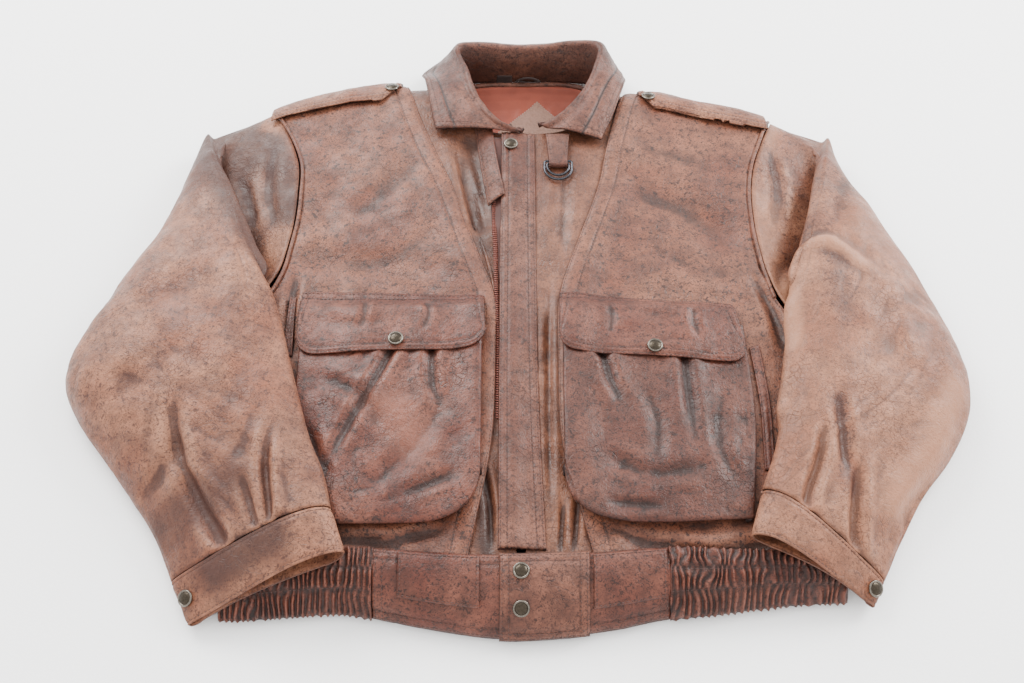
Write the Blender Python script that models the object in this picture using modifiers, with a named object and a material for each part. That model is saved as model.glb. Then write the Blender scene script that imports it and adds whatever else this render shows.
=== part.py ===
"""Worn leather jacket laid flat on its back: every sewn piece is a thin shell.

Lengths are worked out in millimetres and become metres when a mesh is made.
x runs to the right, y from the hem to the collar, z up from the table.
"""
import bpy
import numpy as np

for item in list(bpy.data.objects):
    bpy.data.objects.remove(item, do_unlink=True)

MM = 0.001
WALL = 1.8            # leather, one layer
DOUBLE = 2.6          # leather folded double: collar, flaps, epaulettes
STRAP = 2.0           # thinner double leather: placket and snap tab
SEW_GAP = 0.5         # air left between two sewn pieces
LIFT = 2.8            # outer face of a piece lying on the fronts
LAP = 3.8             # rise of the side fronts where they lap over the centre fronts
BACK_CURL = 14.0      # how far the back panel turns up at the sides
EDGE_Z = 16.9         # lower edge of the fronts above the table
EDGE_DROP = 5.0       # the sides are pressed flatter towards the waistband
SIDE_ROUND = 55.0     # width over which the fronts roll down to the side
TOP_ROUND = 38.0      # the same at the shoulder line
FRONT_END = -262.0    # lower edge of the fronts, tucked under the band
GATHERS = 26          # shirred folds in each elastic part
SNAP_RADIUS = 7.5
POCKET_DEPTH = 13.0   # how far a bellows pocket stands off the front
POCKET_SEAT = 1.5     # its sewn edge over the front
FLAP_CLEAR = 0.6      # air between a flap and the pocket under it
BAG_WIDE, BAG_HIGH = 175.0, 215.0
SNAP_CLEAR = 0.9      # a snap cap over the curved leather it is pressed into
STAND_FACE = 345.7    # inner face of the collar stand at the neck seam
RING_WIRE = 1.3
LOOP_X, LOOP_Y = 40.0, 190.3      # fold of the ring loop
RINGS = (("d_ring_outer", 193.6, 9.6, 14.2), ("d_ring_inner", LOOP_Y, 3.3, 11.4))
RING_STEEL = (0.16, 0.155, 0.16)
ACROSS, UNDER = 12, 9             # points over and under each sleeve ring
FANS = 13                         # sleeve rings from the lip to the cuff
FOLD_REST = 1.2                   # underside of the cap fold over the table

CROWN_Y = (-262, -200, -60, 60, 200, 270, 330)
CROWN_Z = (30, 37, 43, 45, 46, 43, 39)
SHOULDER = np.array([(-400, 240), (-330, 250), (-300, 270), (-272, 287), (-251, 298), (-219, 311),
                     (-187, 323), (-150, 330), (-101, 331), (-84, 372), (90, 362), (112, 319),
                     (155, 316), (198, 301), (241, 289), (272, 276), (303, 259), (325, 246), (400, 236)])
SIDE_L = np.array([(-262, -262), (-150, -284), (-15, -305), (400, -312)])
SIDE_R = np.array([(-262, 284), (-150, 296), (-28, 309), (400, 314)])
ARM_L = np.array([(-262, -262), (-150, -284), (-18, -304.5), (-8, -275), (8, -256), (30, -243),
                  (56, -234), (84, -230), (123, -226), (157, -226), (193, -228), (230, -240), (261, -256),
                  (287, -273)])
ARM_R = np.array([(-262, 284), (-150, 296), (-30, 308), (-20, 282), (3, 257), (47, 243), (84, 238),
                  (116, 236), (157, 237), (193, 243), (231, 256), (254, 264), (276, 273)])
SEAM_L = np.array([(-262, -47), (-215, -38), (-150, -27), (-60, -23), (13, -23), (75, -42), (156, -67),
                   (225, -93), (299, -116), (335, -124)])
SEAM_R = np.array([(-262, 64), (-215, 53), (-150, 38), (-60, 35), (26, 39), (90, 58), (156, 79),
                   (225, 93), (292, 109), (322, 119)])

BAND_LEFT, BAND_RIGHT = -261.5, 283.5
ELASTIC_START = 128.5
HEM_Z = 7.0
HEM = np.array([(-290, -300), (-256, -303), (-191, -299), (-157, -297), (-118, -304), (-70, -314),
                (-18, -321), (33, -319), (85, -312), (120, -304), (172, -297), (234, -289), (290, -286)])
TOP_LINE = np.array([(-290, -254), (-130, -250), (-71, -254), (-18, -256), (58, -254), (127, -249),
                     (190, -251), (290, -252)])

LEATHER = (0.42, 0.26, 0.215)
LEATHER_DARK = (0.31, 0.18, 0.15)
LEATHER_PALE = (0.50, 0.33, 0.285)
TAPE = (0.23, 0.13, 0.10)


def table(x, pairs):
    """Value read off a row of (x, value) pairs."""
    pairs = np.asarray(pairs, float)
    return np.interp(x, pairs[:, 0], pairs[:, 1])


def smooth(t):
    t = np.clip(t, 0.0, 1.0)
    return t * t * (3.0 - 2.0 * t)


def quarter(t):
    """Height of a quarter circle, 0 at the edge and 1 from t = 1 on."""
    t = np.clip(t, 0.0, 1.0)
    return np.sqrt(1.0 - (1.0 - t) ** 2)


def curve(points, t):
    """Points at the shares t of the length of a smooth curve through the given points."""
    p = np.asarray(points, float)
    step = np.linalg.norm(np.diff(p, axis=0), axis=1)
    knot = np.concatenate(([0.0], np.cumsum(step)))
    slope = np.diff(p, axis=0) / step[:, None]
    tangent = np.empty_like(p)
    tangent[0], tangent[-1] = slope[0], slope[-1]
    before, after = step[:-1, None], step[1:, None]
    tangent[1:-1] = (slope[1:] * before + slope[:-1] * after) / (before + after)
    s = np.clip(np.asarray(t, float), 0.0, 1.0) * knot[-1]
    i = np.clip(np.searchsorted(knot, s, side="right") - 1, 0, len(step) - 1)
    h = step[i][:, None]
    f = ((s - knot[i]) / step[i])[:, None]
    return ((2 * f ** 3 - 3 * f ** 2 + 1) * p[i] + (f ** 3 - 2 * f ** 2 + f) * h * tangent[i]
            + (3 * f ** 2 - 2 * f ** 3) * p[i + 1] + (f ** 3 - f ** 2) * h * tangent[i + 1])


def coons(bottom, top, left, right, us, vs):
    """Plan grid between four edge curves that meet at their ends."""
    b, t = curve(bottom, us), curve(top, us)
    lo, hi = curve(left, vs), curve(right, vs)
    u, v = np.meshgrid(us, vs)
    u, v = u[..., None], v[..., None]
    ruled = (1 - v) * b[None] + v * t[None] + (1 - u) * lo[:, None] + u * hi[:, None]
    corners = ((1 - u) * (1 - v) * b[0] + u * (1 - v) * b[-1] + (1 - u) * v * t[0] + u * v * t[-1])
    return ruled - corners


def bump(x, y, line, width):
    """1 on a line of plan points, fading to 0 at the given width beside it."""
    best = np.full(np.shape(x), 1e9)
    pts = np.asarray(line, float)
    for a, b in zip(pts[:-1], pts[1:]):
        d = b - a
        s = np.clip(((x - a[0]) * d[0] + (y - a[1]) * d[1]) / (d @ d), 0.0, 1.0)
        best = np.minimum(best, np.hypot(x - a[0] - s * d[0], y - a[1] - s * d[1]))
    return smooth(1.0 - best / width)


def front_z(x, y):
    """Outer face of the body front over the table."""
    edge = np.where(x < 0, x - table(y, SIDE_L), table(y, SIDE_R) - x)
    top = table(x, SHOULDER) - y
    crown = table(y, list(zip(CROWN_Y, CROWN_Z))) + 3.0 * np.exp(-(x / 160.0) ** 2)
    low = smooth((-120.0 - y) / 120.0)
    base = EDGE_Z - EDGE_DROP * low
    z = base + (crown - base) * quarter(edge / (SIDE_ROUND + 25.0 * low)) * quarter(top / TOP_ROUND)
    z -= 11.0 * bump(x, y, [(-52, 225), (-44, 170), (-40, 120)], 26.0)
    z -= 5.0 * bump(x, y, [(96, 180), (150, 155), (200, 105)], 45.0)
    z += 3.0 * bump(x, y, [(-150, 220), (-110, 140), (-70, 60)], 50.0)
    z -= 4.0 * bump(x, y, [(-200, 70), (-140, 60), (-90, 50)], 30.0)
    return z


def lap(x, y):
    """Extra height of the side front where it laps over the centre front."""
    near = np.where(x < 0, table(y, SEAM_L) - x, x - table(y, SEAM_R))
    return LAP * (1.0 - smooth((near - 14.0) / 30.0)) * (near > -3.0)


def outer_z(x, y):
    return front_z(x, y) + lap(x, y)


def material(name, color, roughness, metallic=0.0):
    mat = bpy.data.materials.new(name)
    mat.use_nodes = True
    shader = mat.node_tree.nodes["Principled BSDF"]
    shader.inputs["Base Color"].default_value = (*color, 1.0)
    shader.inputs["Roughness"].default_value = roughness
    shader.inputs["Metallic"].default_value = metallic
    mat.diffuse_color = (*color, 1.0)
    return mat


jacket = bpy.data.collections.new("worn_leather_jacket")
bpy.context.scene.collection.children.link(jacket)


def add_object(name, data, color, roughness, metallic=0.0):
    obj = bpy.data.objects.new(name, data)
    data.materials.append(material(name + "_finish", color, roughness, metallic))
    jacket.objects.link(obj)
    return obj


def shell(name, grid, wall, color, roughness=0.55, closed=False, flip=False):
    """One sheet from a grid of points in mm, thickened on the side away from its face."""
    rows, cols = grid.shape[:2]
    ids = np.arange(rows * cols).reshape(rows, cols)
    if closed:
        ids = np.concatenate((ids, ids[:, :1]), axis=1)
    quads = np.stack((ids[:-1, :-1], ids[:-1, 1:], ids[1:, 1:], ids[1:, :-1]), axis=-1).reshape(-1, 4)
    if flip:
        quads = quads[:, ::-1]
    mesh = bpy.data.meshes.new(name)
    mesh.from_pydata((grid.reshape(-1, 3) * MM).tolist(), [], quads.tolist())
    mesh.update()
    obj = add_object(name, mesh, color, roughness)
    solid = obj.modifiers.new("wall", "SOLIDIFY")
    solid.thickness = wall * MM
    solid.offset = -1.0
    return obj


def lifted(xy, height):
    """Plan grid raised to a height grid."""
    return np.concatenate((xy, np.broadcast_to(height, xy.shape[:2])[..., None]), axis=-1)


def spread(count, first=0.0, last=1.0):
    return np.linspace(first, last, count)


# Body

def back_panel():
    left = [(-262, FRONT_END), (-284, -150), (-305, -15), (-286, 20), (-264, 70), (-254, 150),
            (-260, 230), (-273, 287)]
    right = [(284, FRONT_END), (296, -150), (308, -28), (290, 10), (272, 60), (260, 150), (262, 220),
             (273, 276)]
    top = [(-273, 287), (-219, 311), (-150, 330), (-103, 332), (-88, 334), (-60, 341), (6, 345), (72, 339),
           (100, 322), (114, 319), (155, 316), (198, 301), (273, 276)]
    us = np.array([0, .006, .024, .08, .18, .28, .34, .4, .5, .6, .66, .72, .82, .92, .976, .994, 1])
    vs = np.array([0, .15, .3, .4, .46, .52, .6, .7, .8, .9, .955, .98, 1])
    xy = coons([(-262, FRONT_END), (284, FRONT_END)], top, left, right, us, vs)
    u, v = np.meshgrid(us, vs)
    side = np.minimum(u, 1 - u) * 575.0
    y = xy[..., 1]
    reach = BACK_CURL - EDGE_DROP * smooth((-120.0 - y) / 120.0)
    curl = smooth((25.0 - y) / 40.0) * reach * (1.0 - quarter(side / BACK_CURL))
    rise = BACK_CURL * (1.0 - quarter((1 - v) * 600.0 / BACK_CURL))
    shell("back_panel", lifted(xy, np.maximum(curl, rise)), WALL, LEATHER, flip=True)


def side_front(name, arm, seam, top, flip):
    """Grid with rows at even heights between the armhole side and the princess seam."""
    us = np.array([0, .025, .08, .18, .3, .44, .58, .72, .84, .93, 1])
    vs = np.concatenate((spread(6, 0, .35), np.array([.4, .425, .45, .48]), spread(6, .54, .86),
                         np.array([.91, .95, .98, 1])))
    u, v = np.meshgrid(us, vs)
    high = curve(top, us)
    y = FRONT_END + v * (high[None, :, 1] - FRONT_END)
    outside, inside = table(y, arm), table(y, seam)
    x = outside * (1 - u) + inside * u
    x = np.where(v == 1, high[None, :, 0], x)
    z = outer_z(x, y)
    shell(name, np.stack((x, y, z), -1), WALL, LEATHER, flip=flip)


def centre_front(name, seam, edge_x, neck, sign):
    """Smooth strip between the lapped seam and the closing."""
    ys = spread(9)
    side = np.stack((table(FRONT_END + ys * 595.0, seam) + sign * 9.0, FRONT_END + ys * 595.0), -1)
    side[-1] = neck[0]
    us = np.array([0, .25, .5, .75, 1.0])
    vs = np.concatenate((spread(13, 0, .9), np.array([.94, .97, 1])))
    xy = coons([side[0], (edge_x, FRONT_END)], neck, side, [(edge_x, FRONT_END), neck[-1]], us, vs)
    x, y = xy[..., 0], xy[..., 1]
    tuck = 2.6 * smooth((y - 285.0) / 25.0)
    shell(name, lifted(xy, front_z(x, y + tuck)), WALL, LEATHER_PALE, 0.45, flip=sign > 0)


def strip(name, left, right, lift, wall, color, rows=12, cols=4, roughness=0.5):
    """Flat piece between two edge lines, lying on the fronts at a given lift."""
    xy = coons([left[0], right[0]], [left[-1], right[-1]], left, right, spread(cols), spread(rows))
    x, y = xy[..., 0], xy[..., 1]
    shell(name, lifted(xy, front_z(x, y) + lift(x, y)), wall, color, roughness)


# Pockets

def pocket_lift(x):
    """Height of the pocket's face over the front: less under the sleeve."""
    pressed = np.where(x < 0, 6.5, 4.55)
    return POCKET_DEPTH - pressed * smooth((np.abs(x) - 150.0) / 55.0)


def pocket(name, bottom, top, left, right, pleats):
    """Bellows bag: sewn edge, a short upright side, then the pleated face."""
    us = np.concatenate((np.array([0, .014, .05]), spread(10, .11, .89), np.array([.95, .986, 1])))
    vs = np.concatenate((np.array([0, .012, .04]), spread(8, .1, 1.0)))
    xy = coons(bottom, top, left, right, us, vs)
    u, v = np.meshgrid(us, vs)
    inset = np.minimum(np.minimum(u, 1 - u) * BAG_WIDE, v * BAG_HIGH)
    x, y = xy[..., 0], xy[..., 1]
    rise = np.interp(inset, (0, 2.2, 7.0, 18.0), (0, .66, .9, 1.0))
    face = pocket_lift(x)
    for line, depth in pleats:
        face = face - depth * bump(x, y, line, 11.0)
    height = outer_z(x, y) + POCKET_SEAT + (face - POCKET_SEAT) * rise
    shell(name, lifted(xy, height), WALL, LEATHER_DARK, 0.42)


def flap_lift(x, y):
    """Outer face of a flap over the front: sewn flat above, lying on the bag below."""
    over = smooth((20.0 - y) / 26.0)
    return DOUBLE + FLAP_CLEAR + (pocket_lift(x) + FLAP_CLEAR) * over


def flap(name, bottom, top, left, right):
    us, vs = spread(13), np.array([0, .08, .25, .45, .65, .82, 1])
    xy = coons(bottom, top, left, right, us, vs)
    x, y = xy[..., 0], xy[..., 1]
    shell(name, lifted(xy, outer_z(x, y) + flap_lift(x, y)), DOUBLE, LEATHER_DARK, 0.42)


def zip_lift(x, y):
    return LIFT


def placket_lift(x, y):
    """The placket lies over the zip strip at its left and on the front at its right."""
    return LIFT + 3.4 * (1 - smooth((x + 8.0) / 18.0))


def tab_lift(x, y):
    """The throat tab rises from the neck seam on to the placket's edge."""
    return LIFT + 1.2 + 5.4 * smooth((246 - y) / 50.0)


def welt_lift(x, y):
    return lap(x, y) + WALL + SEW_GAP


def rounded(a, b, corner, radius):
    """Points of the corner between lines a-corner and corner-b, with its round."""
    a, b, c = (np.array(p, float) for p in (a, b, corner))
    da = (a - c) / np.linalg.norm(a - c)
    db = (b - c) / np.linalg.norm(b - c)
    start, end = c + da * radius, c + db * radius
    return [start * (1 - s) ** 2 + 2 * c * s * (1 - s) + end * s * s for s in spread(7)]


# Waistband

def band_surface(xs, ts, lift=0.0, ripple=None):
    """Grid on the front of the waistband: t = 0 at the top line, 1 at the hem."""
    x, t = np.meshgrid(xs, ts)
    top_y, hem_y = table(x, TOP_LINE), table(x, HEM)
    y = top_y + t * (hem_y - top_y)
    top_z = front_z(x, top_y) + LAP + LIFT + 0.4
    z = HEM_Z + (top_z - HEM_Z) * (1.0 - t ** 2.4) ** 0.8 + lift * (1.0 - 0.55 * t ** 3)
    y = y - 0.9 * lift * t ** 3
    if ripple is not None:
        z = z + ripple(x, t)
    return np.stack((x, y, z), -1)


def gather(x, t):
    """Shirring: narrow folds, flattened along the two elastic rows."""
    end = np.where(x < 0, -BAND_LEFT, BAND_RIGHT)
    phase = (np.abs(x) - ELASTIC_START) / (end - ELASTIC_START) * GATHERS
    rows = 1.0 - 0.45 * np.exp(-((t - 0.36) / 0.07) ** 2) - 0.45 * np.exp(-((t - 0.7) / 0.07) ** 2)
    return 1.7 * (1.0 - np.cos(2 * np.pi * phase)) * rows


def waistband_back():
    """Flat on the table, its ends turned up to meet the elastic parts."""
    xs = np.concatenate(([BAND_LEFT, -259, -253], spread(11, -235, 240), [275, 281, BAND_RIGHT]))
    x, v = np.meshgrid(xs, np.array([0, .3, .6, .85, 1.0]))
    y = (FRONT_END - SEW_GAP) * (1 - v) + (table(x, HEM) + 4.0) * v
    side = np.minimum(x - BAND_LEFT, BAND_RIGHT - x)
    z = (BACK_CURL - EDGE_DROP) * (1 - quarter(side / BACK_CURL)) * (1 - 0.8 * v)
    shell("waistband_back", np.stack((x, y, z), -1), WALL, LEATHER_DARK)


# Sleeves

def support(x, y):
    """Top of what lies under a sleeve: the table, or the body and its pockets."""
    side = np.where(x < 0, x - table(y, SIDE_L), table(y, SIDE_R) - x)
    edge = side + 13.0
    crown = table(y, list(zip(CROWN_Y, CROWN_Z)))
    low = smooth((-120.0 - y) / 120.0)
    base = EDGE_Z - EDGE_DROP * low
    body = base + 3.0 + (crown + 1.5 - base) * quarter(edge / (SIDE_ROUND + 25.0 * low))
    body = body + 6.5 * smooth((-236.0 - y) / 14.0)
    down = np.clip((-256.0 - y) / (-256.0 - table(x, HEM) + 10.0), 0.0, 1.0)
    body = body * (1.0 - down ** 2.4) ** 0.8
    body = body * smooth((side + 35.0) / 24.0)
    pocket_side = np.where(x < 0, 224.0, 228.0)
    on_pocket = smooth((pocket_side - np.abs(x)) / 14.0) * smooth((y + 240.0) / 12.0)
    on_pocket = on_pocket * smooth((34.0 - y) / 20.0)
    body = body + 10.5 * on_pocket
    in_body = smooth((62.0 - y) / 26.0)
    back = 2.4 * smooth((286.0 - np.abs(x)) / 8.0)
    return 0.6 + np.maximum((body + 0.8) * in_body, back)


def cap_rings(spec, side):
    """Closed rings from the armhole down into the cap fold and up to its lip.

    Written for the left sleeve; the right one is mirrored by its caller.
    """
    t = spread(ACROSS) ** 0.92
    tau = spread(UNDER)[1:-1]
    fold = smooth(t / 0.42)
    arm = curve(spec["arm"], t)
    lip = curve(spec["lip"], t)
    away = np.array(spec["away"])
    drop = front_z(arm[:, 0] * -side, arm[:, 1])
    drop_lip = np.interp(t, (0, .2, .6, .9, 1), (24, 42, 58, 64, 60))
    back_arm = curve(spec["back_arm"], tau)
    back_lip = curve(spec["back_lip"], tau)
    shares = np.array([0, .16, .34, .5, .62, .74, .86])
    deep = np.array([0, 4, 12, 40, 41, 11, 0])
    level = np.array([0, .35, .75, .86, .55, .25, 0])
    rings = []
    for i, share in enumerate(shares):
        base = arm * (1 - share / .86) + lip * (share / .86)
        folded = arm + (lip - arm) * (i / 2.35) if i < 3 else lip
        plan = base * (1 - fold[:, None]) + folded * fold[:, None]
        plan = plan + away * (deep[i] * fold)[:, None]
        z_flat = drop * (1 - share / .86) + drop_lip * share / .86
        low = 17.0 + 3.0 * t
        if i < 3:
            z_fold = drop + (low - drop) * level[i] / .86
        elif i == 3:
            z_fold = low
        else:
            z_fold = drop_lip + (low + 9.0 - drop_lip) * (level[i] / .55)
        z = z_flat * (1 - fold) + z_fold * fold
        front = np.concatenate((plan, z[:, None]), axis=1)
        rest = back_arm * (1 - share) + back_lip * share
        z_rest = np.full(len(tau), FOLD_REST)
        hold = 1 - smooth(tau / 0.5)
        back = np.concatenate((rest, z_rest[:, None]), axis=1)
        back[:, 2] += (front[-1, 2] - z_rest) * hold
        edge = quarter(np.clip((1 - tau) / 0.18, 0, 1))
        back[:, 2] = front[0, 2] + (back[:, 2] - front[0, 2]) * edge
        rings.append(np.concatenate((front, back)))
    return rings


def sleeve_section(o, i, heights, side, across=ACROSS, under=UNDER):
    """One ring: over the top from the outer edge o to the inner edge i, back underneath."""
    t = spread(across)
    s = (1 - np.cos(np.pi * t)) / 2
    tau = spread(under)[1:-1]
    r = (1 - np.cos(np.pi * (1 - tau))) / 2
    width = np.linalg.norm(i - o)
    zo, zi, top_o, top_i, bulge = heights
    over = o + (i - o) * s[:, None]
    below = o + (i - o) * r[:, None]
    q_o, q_i = quarter(s * width / 46.0), quarter((1 - s) * width / 22.0)
    crown = top_o + (top_i - top_o) * smooth(s * 1.15) + bulge * np.sin(np.pi * s)
    z_top = zo + (crown - zo) * q_o
    z_top = zi + (z_top - zi) * q_i
    rest = support(below[:, 0] * -side, below[:, 1])
    p_o, p_i = quarter(r * width / 20.0), quarter((1 - r) * width / 16.0)
    z_low = rest * p_o * p_i + zo * (1 - p_o) + zi * (1 - p_i)
    z_low = np.maximum(z_low, rest)
    return np.concatenate((np.column_stack((over, z_top)), np.column_stack((below, z_low))))


def sleeve(side, spec):
    """Cap fold, then rings that fan out round the lip and end at the cuff."""
    rings = cap_rings(spec, side)
    fan = spread(FANS) ** 1.05
    t = spread(ACROSS) ** 0.92
    seat = curve(spec["lip"], t) + np.array(spec["away"]) * 9.0
    z_seat = np.interp(t, (0, .2, .6, .9, 1), (28, 50, 66, 72, 70))
    outer, inner = curve(spec["outer"], fan), curve(spec["inner"], fan ** 1.5)
    for f, o, i in zip(fan, outer, inner):
        ring = sleeve_section(o, i, [table(f, spec[key]) for key in SECTION], side)
        share = 0.9 * (1 - smooth(f / 0.16))
        ring[:ACROSS, :2] = ring[:ACROSS, :2] * (1 - share) + seat * share
        ring[:ACROSS, 2] = ring[:ACROSS, 2] * (1 - share) + z_seat * share
        rings.append(ring)
    grid = np.array(rings)
    grid[:, :, 0] *= -side
    name = "sleeve_left" if side < 0 else "sleeve_right"
    shell(name, grid, WALL, LEATHER_PALE, 0.5, closed=True, flip=side < 0)


# Heights of a sleeve ring against the share of the way from lip to cuff, under these keys.
SECTION = ("edge_outer", "edge_inner", "top_outer", "top_inner", "bulge")
SLEEVE_L = {
    "arm": [(-276, 290), (-258, 263), (-242, 230), (-231, 193), (-229, 157), (-229, 123), (-233, 84),
            (-238.5, 56), (-250, 32), (-263, 14), (-283, 0), (-308, -7)],
    "lip": [(-330, 254), (-311, 193), (-293, 147), (-278, 112), (-260, 70), (-246, 34), (-256, 18)],
    "away": (-0.93, 0.37),
    "back_arm": [(-308, -7), (-302, 26), (-285, 70), (-267, 150), (-268, 230), (-276, 290)],
    "back_lip": [(-300, 6), (-308, 50), (-319, 110), (-326, 170), (-332, 220), (-330, 254)],
    "outer": [(-336, 246), (-349, 215), (-357, 165), (-361, 131), (-377, 105), (-397, 54), (-414, 5),
              (-436, -43), (-434, -65), (-413, -109), (-381, -151), (-350, -192), (-323, -232), (-305, -270)],
    "inner": [(-254, 40), (-243, 22), (-233, -2), (-218, -53), (-202, -109), (-189, -151), (-173, -190),
              (-165, -221)],
    "edge_outer": [(0, 24), (.3, 22), (1, 14)],
    "edge_inner": [(0, 58), (.3, 62), (1, 58)],
    "top_outer": [(0, 40), (.12, 56), (.5, 52), (1, 30)],
    "top_inner": [(0, 72), (.2, 76), (1, 70)],
    "bulge": [(0, 2), (.3, 10), (.7, 8), (1, 4)],
}
SLEEVE_R = {
    "arm": [(-276, 279), (-267.5, 255), (-258, 231), (-245, 193), (-239, 157), (-238, 116), (-240, 84),
            (-246, 47), (-263, 6), (-287, -13), (-312, -21)],
    "lip": [(-326, 249), (-316, 214), (-307, 183), (-295, 135), (-284, 98), (-272, 60), (-262, 14),
            (-270, 2)],
    "away": (-0.95, 0.3),
    "back_arm": [(-312, -21), (-305, 10), (-285, 60), (-272, 150), (-271, 220), (-276, 279)],
    "back_lip": [(-304, -8), (-309, 50), (-319, 110), (-324, 170), (-328, 220), (-326, 249)],
    "outer": [(-331, 240), (-336, 215), (-347, 186), (-357, 158), (-380, 105), (-400, 54), (-415, 5),
              (-427, -43), (-426, -75), (-407, -131), (-375, -172), (-348, -212), (-330, -247), (-317, -269)],
    "inner": [(-266, 34), (-258, 9), (-251, -14), (-248, -49), (-241, -84), (-233, -117), (-231, -150),
              (-218, -185), (-211, -202)],
    "edge_outer": [(0, 24), (.3, 22), (1, 14)],
    "edge_inner": [(0, 58), (.3, 62), (1, 56)],
    "top_outer": [(0, 40), (.12, 54), (.5, 52), (1, 30)],
    "top_inner": [(0, 70), (.2, 74), (1, 68)],
    "bulge": [(0, 2), (.3, 10), (.7, 8), (1, 4)],
}


# Sleeve end and mouth of each cuff as outer and inner points, then the ring heights at both.
CUFF_L = ((-305, -270.8), (-165, -221.8), (-286, -309), (-150, -262), (14, 58, 30, 70, 4), (9, 54, 20, 63, 2))
CUFF_R = ((-317, -269.8), (-211, -202.8), (-306, -292), (-198, -244), (14, 56, 30, 68, 4), (9, 50, 20, 62, 2))


def cuff_ring(spec, v, side, **count):
    """Ring of a cuff at the share v of the way from the sleeve end to the mouth."""
    top_o, top_i, low_o, low_i, z_top, z_low = (np.array(part, float) for part in spec)
    heights = z_top * (1 - v) + z_low * v
    return sleeve_section(top_o * (1 - v) + low_o * v, top_i * (1 - v) + low_i * v, heights, side, **count)


def cuff(side, spec):
    """Band round the wrist: the ring of the sleeve end carried on to the mouth."""
    grid = np.array([cuff_ring(spec, v, side) for v in spread(4)])
    grid[:, :, 0] *= -side
    name = "cuff_left" if side < 0 else "cuff_right"
    shell(name, grid, WALL, LEATHER_PALE, 0.5, closed=True, flip=side < 0)


# Collar

def collar():
    """Stand up from the neck seam, roll over, and fall to the outer edge."""
    seam = [(-12, 242, 50), (-38, 252, 48.5), (-58, 276, 47), (-74, 304, 42), (-84, 328, 30),
            (-60, 345.5, 19), (-30, 348.5, 18), (6, 349.5, 18), (42, 348.5, 18), (76, 344, 19), (98, 322, 29),
            (90, 298, 42), (74, 272, 47), (52, 254, 48.5), (26, 246, 50)]
    roll = [(4, 234, 55), (-22, 245, 59), (-43, 275, 60), (-55, 313, 61), (-65, 354, 60), (-40, 359, 57),
            (-10, 358, 55), (24, 359, 55), (56, 363, 57), (85, 357, 60), (78, 312, 61), (60, 276, 60),
            (38, 251, 59), (30, 246, 57), (20, 243, 55)]
    edge = [(-89, 240, 53), (-94, 264, 54), (-98, 290, 53), (-103, 318, 47), (-108, 352, 24), (-84, 389, 7),
            (-40, 398, 5), (10, 400, 5), (56, 397, 5), (98, 382, 8), (117, 344, 25), (114, 312, 47),
            (108, 288, 53), (98, 254, 54), (86, 223, 54)]
    s = spread(31)
    n, r, e = curve(seam, s), curve(roll, s), curve(edge, s)
    out = e - n
    out[:, 2] = 0
    out /= np.linalg.norm(out, axis=1)[:, None]
    up = np.array([0, 0, 1.0])
    lean = r - n
    rows = [n, n + 0.5 * lean - 1.5 * out, n + 0.86 * lean - 0.8 * out - 1.5 * up, r - 2.0 * up + 0.4 * out,
            r + 3.2 * out + 1.6 * up, r + 8.0 * out - 0.4 * up]
    start = rows[-1]
    for f in (0.3, 0.62, 1.0):
        rows.append(start * (1 - f) + e * f + up * (3.5 * np.sin(np.pi * f)))
    shell("collar", np.array(rows), DOUBLE, LEATHER, 0.45, flip=True)


# Small pieces

def strap_point(x, y):
    """Point and normal of a strap lying over the rolled shoulder edge."""
    y_edge = table(x, SHOULDER)
    z_top = front_z(np.array([x]), np.array([y_edge - TOP_ROUND]))[0]
    ang = np.arccos(np.clip(1 - (y_edge - y) / TOP_ROUND, 0, 1))
    normal = np.array([0, np.cos(ang) / TOP_ROUND, np.sin(ang) / (z_top - EDGE_Z)])
    normal /= np.linalg.norm(normal)
    point = np.array([x, y_edge - TOP_ROUND * (1 - np.cos(ang)), EDGE_Z + (z_top - EDGE_Z) * np.sin(ang)])
    return point + normal * (DOUBLE + 2.4), normal


def strap_on_shoulder(name, x_root, x_tip, front_edge, flip):
    """Epaulette wrapped over the rolled shoulder edge."""
    us = np.concatenate((spread(8, 0, .86), np.array([.93, 1.0])))
    rows = []
    for u in us:
        x = x_root + (x_tip - x_root) * u
        y_edge = table(x, SHOULDER)
        taper = 1.0 - 0.72 * smooth((u - 0.84) / 0.16)
        y_front = table(x, front_edge)
        middle = y_edge - 10.0
        reach = (middle - y_front) * taper
        base = []
        for d in np.linspace(middle - reach, y_edge - 0.6, 7):
            base.append(strap_point(x, d)[0])
        low = base[-1].copy()
        low[2] = EDGE_Z - 4.0 * taper
        base.append(low)
        rows.append(base)
    shell(name, np.array(rows), DOUBLE, LEATHER_PALE, 0.5, flip=flip)


def revolve(name, centre, normal, profile, color, roughness, metallic, around=14):
    """Closed solid of revolution from (radius, height) points, standing on a surface."""
    n = np.array(normal, float) / np.linalg.norm(normal)
    a = np.cross(n, (0.0, 1.0, 0.0))
    a /= np.linalg.norm(a)
    b = np.cross(n, a)
    verts, faces = [], []
    for radius, height in profile[1:-1]:
        for k in range(around):
            w = 2 * np.pi * k / around
            verts.append((centre + radius * (np.cos(w) * a + np.sin(w) * b) + height * n) * MM)
    low, high = len(verts), len(verts) + 1
    verts += [(centre + profile[0][1] * n) * MM, (centre + profile[-1][1] * n) * MM]
    for j in range(len(profile) - 3):
        for k in range(around):
            m = (k + 1) % around
            faces.append((j * around + k, j * around + m, (j + 1) * around + m, (j + 1) * around + k))
    last = (len(profile) - 3) * around
    for k in range(around):
        m = (k + 1) % around
        faces.append((low, m, k))
        faces.append((high, last + k, last + m))
    mesh = bpy.data.meshes.new(name)
    mesh.from_pydata([tuple(v) for v in verts], [], faces)
    mesh.update()
    add_object(name, mesh, color, roughness, metallic)


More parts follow.
